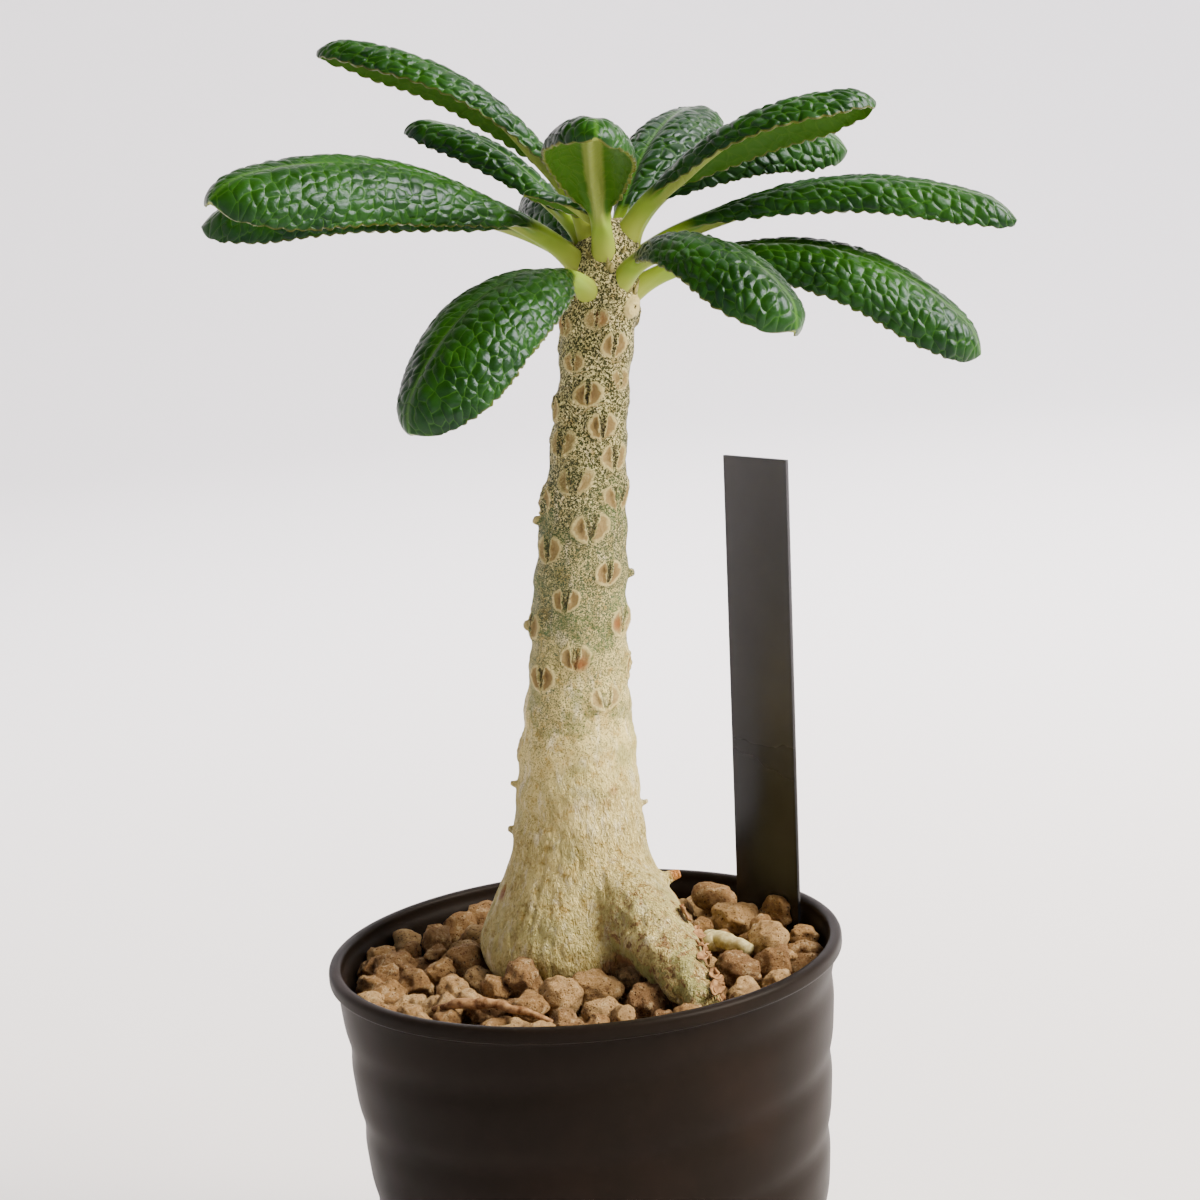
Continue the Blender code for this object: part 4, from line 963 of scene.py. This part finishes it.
    # what the pucker pattern and the colours read: place on the face, and what part of the leaf it is
    flatArc = np.concatenate([arc, arc[:, ::-1]], 1)
    face = np.concatenate([np.ones((rows, columns)), -np.ones((rows, columns))], 1)
    distance = np.broadcast_to((along * length)[:, None] + 200.0 * index, (rows, count))
    addVectors(piece, "leafPlace", np.stack([flatArc, distance, face], -1).reshape(-1, 3))
    fromMidrib = np.abs(np.concatenate([f, f[:, ::-1]], 1))
    part = [np.broadcast_to(values, (rows, count)) for values in (blade, fromMidrib, along[:, None])]
    addVectors(piece, "leafPart", np.stack(part, -1).reshape(-1, 3))
    pucker = piece.modifiers.new("pucker", "NODES")
    pucker.node_group = puckerTree
    applyModifiers(piece)
    return piece


# The cells between the veins, the same in the relief and in the colour: rows along slanted side
# veins, two or three cells deep, a little irregular.
def puckerCells(add, place):
    axes = add("SeparateXYZ", {0: place})
    out = add("Math", {0: axes.outputs[0]}, operation="ABSOLUTE")
    left = add("Math", {0: axes.outputs[0], 1: 0.0}, operation="LESS_THAN")
    slant = add("Math", {0: out, 1: -leafForm["veinSlant"], 2: axes.outputs[1]}, operation="MULTIPLY_ADD")
    denser = add("Math", {0: out, 1: leafForm["edgeDenser"], 2: 1.0}, operation="MULTIPLY_ADD")
    column = add("Math", {0: out, 1: 1 / leafForm["cellWide"]}, operation="MULTIPLY")
    column = add("Math", {0: column, 1: denser}, operation="MULTIPLY")
    column = add("Math", {0: left, 1: 31.0, 2: column}, operation="MULTIPLY_ADD")  # no mirror image
    row = add("Math", {0: slant, 1: 1 / leafForm["cellLong"]}, operation="MULTIPLY")
    row = add("Math", {0: left, 1: 0.45, 2: row}, operation="MULTIPLY_ADD")
    spot = add("CombineXYZ", {0: column, 1: row})
    sway = add("TexNoise", {"Vector": spot, "Scale": 0.7, "Detail": 1.0}, noise_dimensions="2D")
    sway = add("VectorMath", {0: sway.outputs["Color"], 1: (0.7, 0.7, 0.0), 2: spot},
               operation="MULTIPLY_ADD")
    edges, seeds = (
        add("TexVoronoi", {"Vector": sway, "Scale": 1.0, "Randomness": 0.75}, voronoi_dimensions="2D",
            feature=part)
        for part in ("DISTANCE_TO_EDGE", "F1"))
    inward = add("MapRange", {"Value": edges.outputs["Distance"], "From Max": leafForm["cellRim"]})
    fall = add("Math", {0: 2.0, 1: inward}, operation="SUBTRACT")
    pillow = add("Math", {0: inward, 1: fall}, operation="MULTIPLY")
    fromSeed = add("VectorMath", {0: sway, 1: seeds.outputs["Position"]}, operation="SUBTRACT")
    lean = add("VectorMath", {0: seeds.outputs["Color"], 1: (0.5, 0.5, 0.5)}, operation="SUBTRACT")
    tilt = (leafForm["cellTilt"], leafForm["cellTilt"], 0.0)
    lean = add("VectorMath", {0: lean, 1: tilt}, operation="MULTIPLY")
    lean = add("VectorMath", {0: lean, 1: fromSeed}, operation="DOT_PRODUCT").outputs["Value"]
    lean = add("Math", {0: lean, 1: 1.0}, operation="ADD")
    pillow = add("Math", {0: pillow, 1: lean}, operation="MULTIPLY")
    return edges.outputs["Distance"], pillow, out


def puckerRelief():
    tree = bpy.data.node_groups.new("puckerRelief", "GeometryNodeTree")
    for way in ("INPUT", "OUTPUT"):
        tree.interface.new_socket(name="Geometry", in_out=way, socket_type="NodeSocketGeometry")
    add = partial(addNode, tree)
    inside, outside = add("NodeGroupInput"), add("NodeGroupOutput")
    place, part = (
        add("GeometryNodeInputNamedAttribute", {"Name": name}, data_type="FLOAT_VECTOR").outputs[0]
        for name in ("leafPlace", "leafPart"))
    _, pillow, out = puckerCells(add, place)
    face = add("SeparateXYZ", {0: place}).outputs[2]
    onLeaf = add("SeparateXYZ", {0: part})
    rise = add("Math", {0: pillow, 1: 0.6}, operation="SUBTRACT")
    rise = add("Math", {0: rise, 1: leafForm["puckerHeight"] * mm}, operation="MULTIPLY")
    # none by the midrib, shallower and the other way below, none on the petiole or at the tip
    for values in ((out, 0.7, 2.0), (face, -1.0, 1.0, -0.55, 1.0), (onLeaf.outputs[0], 0.3, 1.0),
                   (onLeaf.outputs[2], 0.999, 0.93)):
        share = add("MapRange", dict(zip(rampInputs, values)))
        rise = add("Math", {0: rise, 1: share}, operation="MULTIPLY")
    offset = add("VectorMath", {0: add("GeometryNodeInputNormal"), "Scale": rise}, operation="SCALE")
    moved = add("GeometryNodeSetPosition", {"Geometry": inside, "Offset": offset})
    setInputs(outside, {0: moved})
    return tree


# Leathery evergreen leaf under a waxy cuticle: deep green and glossy above, with thin pale veins
# sunk between the puckers, olive and duller below, and a thick pale midrib and petiole.
leafTones = {
    "above": "0b2902", "aboveLight": "1c4504", "below": "3b6604", "vein": "3f6c18", "veinBelow": "62822a",
    "rib": "8f9f48", "petiole": "7f9a2c", "petioleFoot": "93a03c", "margin": "6f6c2c", "rust": "8a4a1e",
}


def waxyLeaf():
    material, add, shader = startMaterial("waxyLeaf", IOR=1.48, Specular_IOR_Level=0.26,
                                          Specular_Tint=hexColour("d2e2ff"))
    place, part = (add("Attribute", attribute_name=name).outputs["Vector"]
                   for name in ("leafPlace", "leafPart"))
    solid = add("TexCoord").outputs["Object"]
    solid = add("VectorMath", {0: solid, "Scale": 1000.0}, operation="SCALE")  # millimetres
    cells, pillow, out = puckerCells(add, place)
    face = add("SeparateXYZ", {0: place}).outputs[2]
    onLeaf = add("SeparateXYZ", {0: part})
    bladeShare, edgeShare, along = (onLeaf.outputs[k] for k in range(3))
    patches = add("TexNoise", {"Vector": solid, "Scale": 0.09, "Detail": 4.0})
    spots = add("TexVoronoi", {"Vector": solid, "Scale": 0.028})
    ramps = {}
    for name, *values in (
            ("below", face, 0.2, -0.2), ("aboveLight", patches, 0.38, 0.7),
            ("vein", cells, 0.05, 0.015, 0.0, 0.4),
            ("ribLine", out, 0.5, 0.2, 0.0, 0.6), ("veinBelow", cells, 0.12, 0.02, 0.0, 0.16),
            ("rib", out, 2.1, 1.3), ("margin", edgeShare, 0.975, 1.0, 0.0, 0.55),
            ("petioleFoot", along, 0.12, 0.03), ("stalk", bladeShare, 0.55, 0.15),
            ("rust", spots, 0.045, 0.02, 0.0, 0.8), ("gloss", patches, 0.35, 0.7, 0.29, 0.40)):
        ramps[name] = add("MapRange", dict(zip(rampInputs, values)))
    faces = {}
    for ground, layers in (("above", (("aboveLight", "aboveLight"), ("vein", "vein"), ("ribLine", "vein"))),
                           ("below", (("veinBelow", "veinBelow"), ("rib", "rib"))),
                           ("petiole", (("petioleFoot", "petioleFoot"),))):
        faces[ground] = hexColour(leafTones[ground])
        for share, tone in layers:
            faces[ground] = add("Mix", {0: ramps[share], 6: faces[ground], 7: hexColour(leafTones[tone])},
                                data_type="RGBA")
    colour = faces["above"]
    for share, layer in (("below", faces["below"]), ("margin", hexColour(leafTones["margin"])),
                         ("stalk", faces["petiole"]), ("rust", hexColour(leafTones["rust"]))):
        colour = add("Mix", {0: ramps[share], 6: colour, 7: layer}, data_type="RGBA")
    dull = add("Math", {0: ramps["below"], 1: 0.25, 2: ramps["gloss"]}, operation="MULTIPLY_ADD")
    fine = add("TexVoronoi", {"Vector": solid, "Scale": 1.5}, feature="DISTANCE_TO_EDGE")  # 0.7 mm net
    swell = add("Math", {0: fine, 1: 0.5, 2: pillow}, operation="MULTIPLY_ADD")
    swell = add("Math", {0: swell, 1: bladeShare}, operation="MULTIPLY")
    bump = add("Bump", {"Height": swell, "Strength": 0.6, "Distance": 0.00012})
    setInputs(shader, {"Base Color": colour, "Roughness": dull, "Normal": bump})
    return material


puckerTree = puckerRelief()
leafMaterial = waxyLeaf()
for index, leaf in enumerate(leaves):
    dress(buildLeaf(index, *leaf), leafMaterial, "leaf_green", leaf[0])
    print(leaf[0], "done")


# small dead parts: scales in the crown, dry flakes and fibres by the root, loose bits of root

litter = {
    "scales": 26, "scaleHeights": (192.0, 202.5), "scaleLength": 2.4, "scaleWidth": 1.3,
    "scaleThickness": 0.4,
    "flakes": 44, "flakeLength": 2.6, "flakeWidth": 1.7, "flakeThickness": 0.16,
    "fibres": (
        ((6.2, -10.2, 77.4, 0.28), (9.5, -14.5, 77.0, 0.34), (13.2, -19.6, 77.2, 0.3),
         (16.8, -25.2, 77.4, 0.2)),
        ((7.4, -11.6, 78.6, 0.2), (10.2, -15.6, 78.0, 0.26), (12.2, -19.0, 76.8, 0.2)),
        ((8.6, -10.8, 80.0, 0.2), (9.8, -13.8, 78.0, 0.3), (9.0, -16.4, 76.2, 0.22)),
        ((11.0, -15.2, 79.4, 0.2), (12.4, -19.2, 77.8, 0.26), (14.4, -23.4, 76.6, 0.18)),
        ((14.6, -24.6, 79.4, 0.16), (17.4, -27.6, 80.2, 0.18), (20.6, -28.6, 79.0, 0.16),
         (22.4, -29.2, 77.2, 0.12)),
        ((20.6, -22.4, 79.8, 0.18), (22.0, -26.4, 78.6, 0.2), (21.6, -30.2, 77.4, 0.14)),
    ),
    "strand": ((-26.0, -20.0, 76.4, 0.5), (-21.5, -23.4, 78.2, 0.8), (-16.5, -25.4, 78.6, 0.9),
               (-11.5, -28.0, 78.2, 0.7), (-6.0, -30.6, 76.6, 0.4)),
    "tones": {"driedBark": ("5e3d22", "a07c55"), "driedScale": ("4f4a24", "a39a62"),
              "paleRoot": ("96885a", "c2b88a")},
}


# Dead, papery bark and bare root: matt and fibrous, with dark and pale streaks
def deadBark(name):
    material, add, shader = startMaterial(name, Roughness=0.82, IOR=1.4, Specular_IOR_Level=0.3)
    place = add("TexCoord").outputs["Object"]
    streaks = add("TexNoise", {"Vector": place, "Scale": 700.0, "Detail": 4.0, "Roughness": 0.65})
    share = add("MapRange", {"Value": streaks, "From Min": 0.38, "From Max": 0.62})
    dark, pale = litter["tones"][name]
    tone = add("Mix", {0: share, 6: hexColour(dark), 7: hexColour(pale)}, data_type="RGBA")
    bump = add("Bump", {"Height": streaks, "Strength": 0.7, "Distance": 0.0002})
    setInputs(shader, {"Base Color": tone, "Normal": bump})
    return material


def buildScales():  # a flattened ball, pinched to a point and curled outwards, copied round the crown
    draw = random.Random(8)
    bpy.ops.mesh.primitive_uv_sphere_add(segments=10, ring_count=7, radius=mm)
    model = bpy.context.object
    points = readPoints(model)
    upward = (points[:, 2] + 1) / 2
    points *= (litter["scaleWidth"] / 2, litter["scaleThickness"] / 2, litter["scaleLength"] / 2)
    points[:, 0] *= 1 - 0.75 * upward
    points[:, 1] -= 0.5 * upward ** 2
    writePoints(model, points)
    placements = []
    for k in range(litter["scales"]):
        azimuth, height = 137.5 * k + draw.uniform(-12, 12), draw.uniform(*litter["scaleHeights"])
        angle, reach = math.radians(azimuth), float(smoothCurve(trunk["profile"], height)) + 0.25
        place = besideTrunk(height, angle, reach)
        turn = Matrix.Rotation(angle + math.pi / 2, 4, "Z") @ Matrix.Rotation(draw.uniform(0.05, 0.5), 4, "X")
        placements.append(Matrix.Translation(place) @ turn @ Matrix.Scale(draw.uniform(0.7, 1.25), 4))
    return scattered("crown_scales", model, placements)


def onRoot(share, angle, lift):  # a place on the thick root: 0 degrees is its right side, 90 its top
    spots = np.array(trunk["root"], float)
    at = share * (len(spots) - 1)
    x, y, z, radius = (float(np.interp(at, range(len(spots)), spots[:, k])) for k in range(4))
    k = min(int(at), len(spots) - 2)
    ahead = Vector(spots[k + 1][:3] - spots[k][:3]).normalized()
    up = (Vector((0, 0, 1)) - ahead * ahead.z).normalized()
    outward = up.cross(ahead) * math.cos(angle) + up * math.sin(angle)
    return Vector((x, y, z)) + outward * (radius + lift), outward, ahead


def buildFlakes():  # a curled leaf of bark with a real thickness, copied along the root's right side
    draw = random.Random(15)
    bpy.ops.mesh.primitive_grid_add(x_subdivisions=5, y_subdivisions=4, size=mm)
    model = bpy.context.object
    points = readPoints(model)
    x, y = points[:, 0].copy(), points[:, 1].copy()
    points[:, 0] = x * litter["flakeLength"] * (1 - 0.5 * (2 * y) ** 2)
    points[:, 1] = y * litter["flakeWidth"] * (1 - 0.4 * (2 * x) ** 2)
    points[:, 2] = 0.9 * (x + 0.5) ** 2 + 1.1 * y ** 2
    writePoints(model, points)
    body = model.modifiers.new("body", "SOLIDIFY")
    body.thickness = litter["flakeThickness"] * mm
    applyModifiers(model)
    placements = []
    for k in range(litter["flakes"]):
        share = 0.42 + 0.58 * (k + draw.random()) / litter["flakes"]
        place, outward, ahead = onRoot(share, math.radians(draw.uniform(-30, 62)), 0.05)
        basis = Matrix((ahead, outward.cross(ahead), outward)).transposed().to_4x4()
        turn = Matrix.Rotation(draw.uniform(0, math.tau), 4, "Z")
        turn = turn @ Matrix.Rotation(draw.uniform(-0.5, 0.2), 4, "Y")
        placements.append(Matrix.Translation(place) @ basis @ turn @ Matrix.Scale(draw.uniform(0.6, 1.2), 4))
    return scattered("root_flakes", model, placements)


def buildFibres():
    draw = random.Random(31)
    tubes = [tubeAlong("root_fibres", wobbled(spots, 9, 0.35, draw), 1) for spots in litter["fibres"]]
    selectOnly(*tubes)
    bpy.ops.object.join()
    return tubes[0]


def buildBits(name, spots, swell):  # a loose bit of root, knobbly along its length
    draw = random.Random(len(name))
    path = wobbled(spots, 14, 0.3, draw)
    return tubeAlong(name, [(x, y, z, r * draw.uniform(1 - swell, 1 + swell)) for x, y, z, r in path], 4)


dress(buildScales(), deadBark("driedScale"), "tan_bark")
driedBark = deadBark("driedBark")
dress(buildFlakes(), driedBark, "tan_bark")
dress(buildFibres(), driedBark, "tan_bark")
dress(buildBits("dry_strand", litter["strand"], 0.3), driedBark, "tan_bark")
dress(buildBits("pale_root", filling["paleRoot"], 0.12), deadBark("paleRoot"), "tan_bark")
print("small parts done")


# the studio: a pale seamless bowl, soft lamps and the camera

studio = {
    "floorTone": "eeebec", "flat": 1.5, "wall": 2.5, "wallHeight": 2.4,
    "lamps": (  # name, place, aim, size, spread, power, tone
        ("rightWindow", (1.15, -0.32, 1.12), (0, 0, 0.14), 1.0, 120, 47.0, "fff5e6"),
        ("leftWindow", (-1.1, -0.9, 0.8), (0, 0, 0.2), 0.7, 180, 1.2, "cfe0ff"),
        ("backdropLamp", (0.3, 0.7, 1.25), (0.3, 2.1, 0.22), 1.2, 180, 67.0, "fbf9ff"),
    ),
    "skyTone": "eef0f4", "skyStrength": 0.03,
    "cameraPlace": (0.007352, -0.438845, 0.218989), "cameraTilt": 79.851, "cameraTurn": -4.465, "lens": 78.0,
}


def buildStudio():
    arc = [(studio["flat"] + (studio["wall"] - studio["flat"]) * math.sin(a),
            (studio["wall"] - studio["flat"]) * (1 - math.cos(a))) for a in np.linspace(0, math.pi / 2, 16)]
    outline = [(0, 0), (0.5, 0), (1.0, 0)] + arc + [(studio["wall"], studio["wallHeight"])]
    floor = spun("studio_floor", [(r / mm, z / mm) for r, z in outline], 96)
    editAll(floor, bpy.ops.mesh.normals_make_consistent, inside=True)
    bpy.ops.object.shade_smooth()
    paper, *_ = startMaterial("mattPaper", Base_Color=hexColour(studio["floorTone"]), Roughness=0.9)
    floor.data.materials.append(paper)
    for name, place, aim, size, spread, power, tone in studio["lamps"]:
        lamp = bpy.data.lights.new(name, "AREA")
        lamp.size, lamp.energy, lamp.color = size, power, hexColour(tone)[:3]
        lamp.spread = math.radians(spread)
        holder = bpy.data.objects.new(name, lamp)
        holder.location = place
        holder.rotation_euler = (Vector(aim) - Vector(place)).to_track_quat("-Z", "Y").to_euler()
        bpy.context.scene.collection.objects.link(holder)
    world = bpy.data.worlds.new("paleRoom")
    world.use_nodes = True
    world.node_tree.nodes["Background"].inputs["Color"].default_value = hexColour(studio["skyTone"])
    world.node_tree.nodes["Background"].inputs["Strength"].default_value = studio["skyStrength"]
    bpy.context.scene.world = world


def buildCamera():
    camera = bpy.data.objects.new("camera", bpy.data.cameras.new("camera"))
    camera.data.lens, camera.data.sensor_width = studio["lens"], 36.0
    turn = Matrix.Rotation(math.radians(studio["cameraTilt"]), 4, "X")
    turn = turn @ Matrix.Rotation(math.radians(studio["cameraTurn"]), 4, "Z")
    camera.matrix_world = Matrix.Translation(studio["cameraPlace"]) @ turn
    bpy.context.scene.collection.objects.link(camera)
    bpy.context.scene.camera = camera


buildStudio()
buildCamera()
print("studio done")
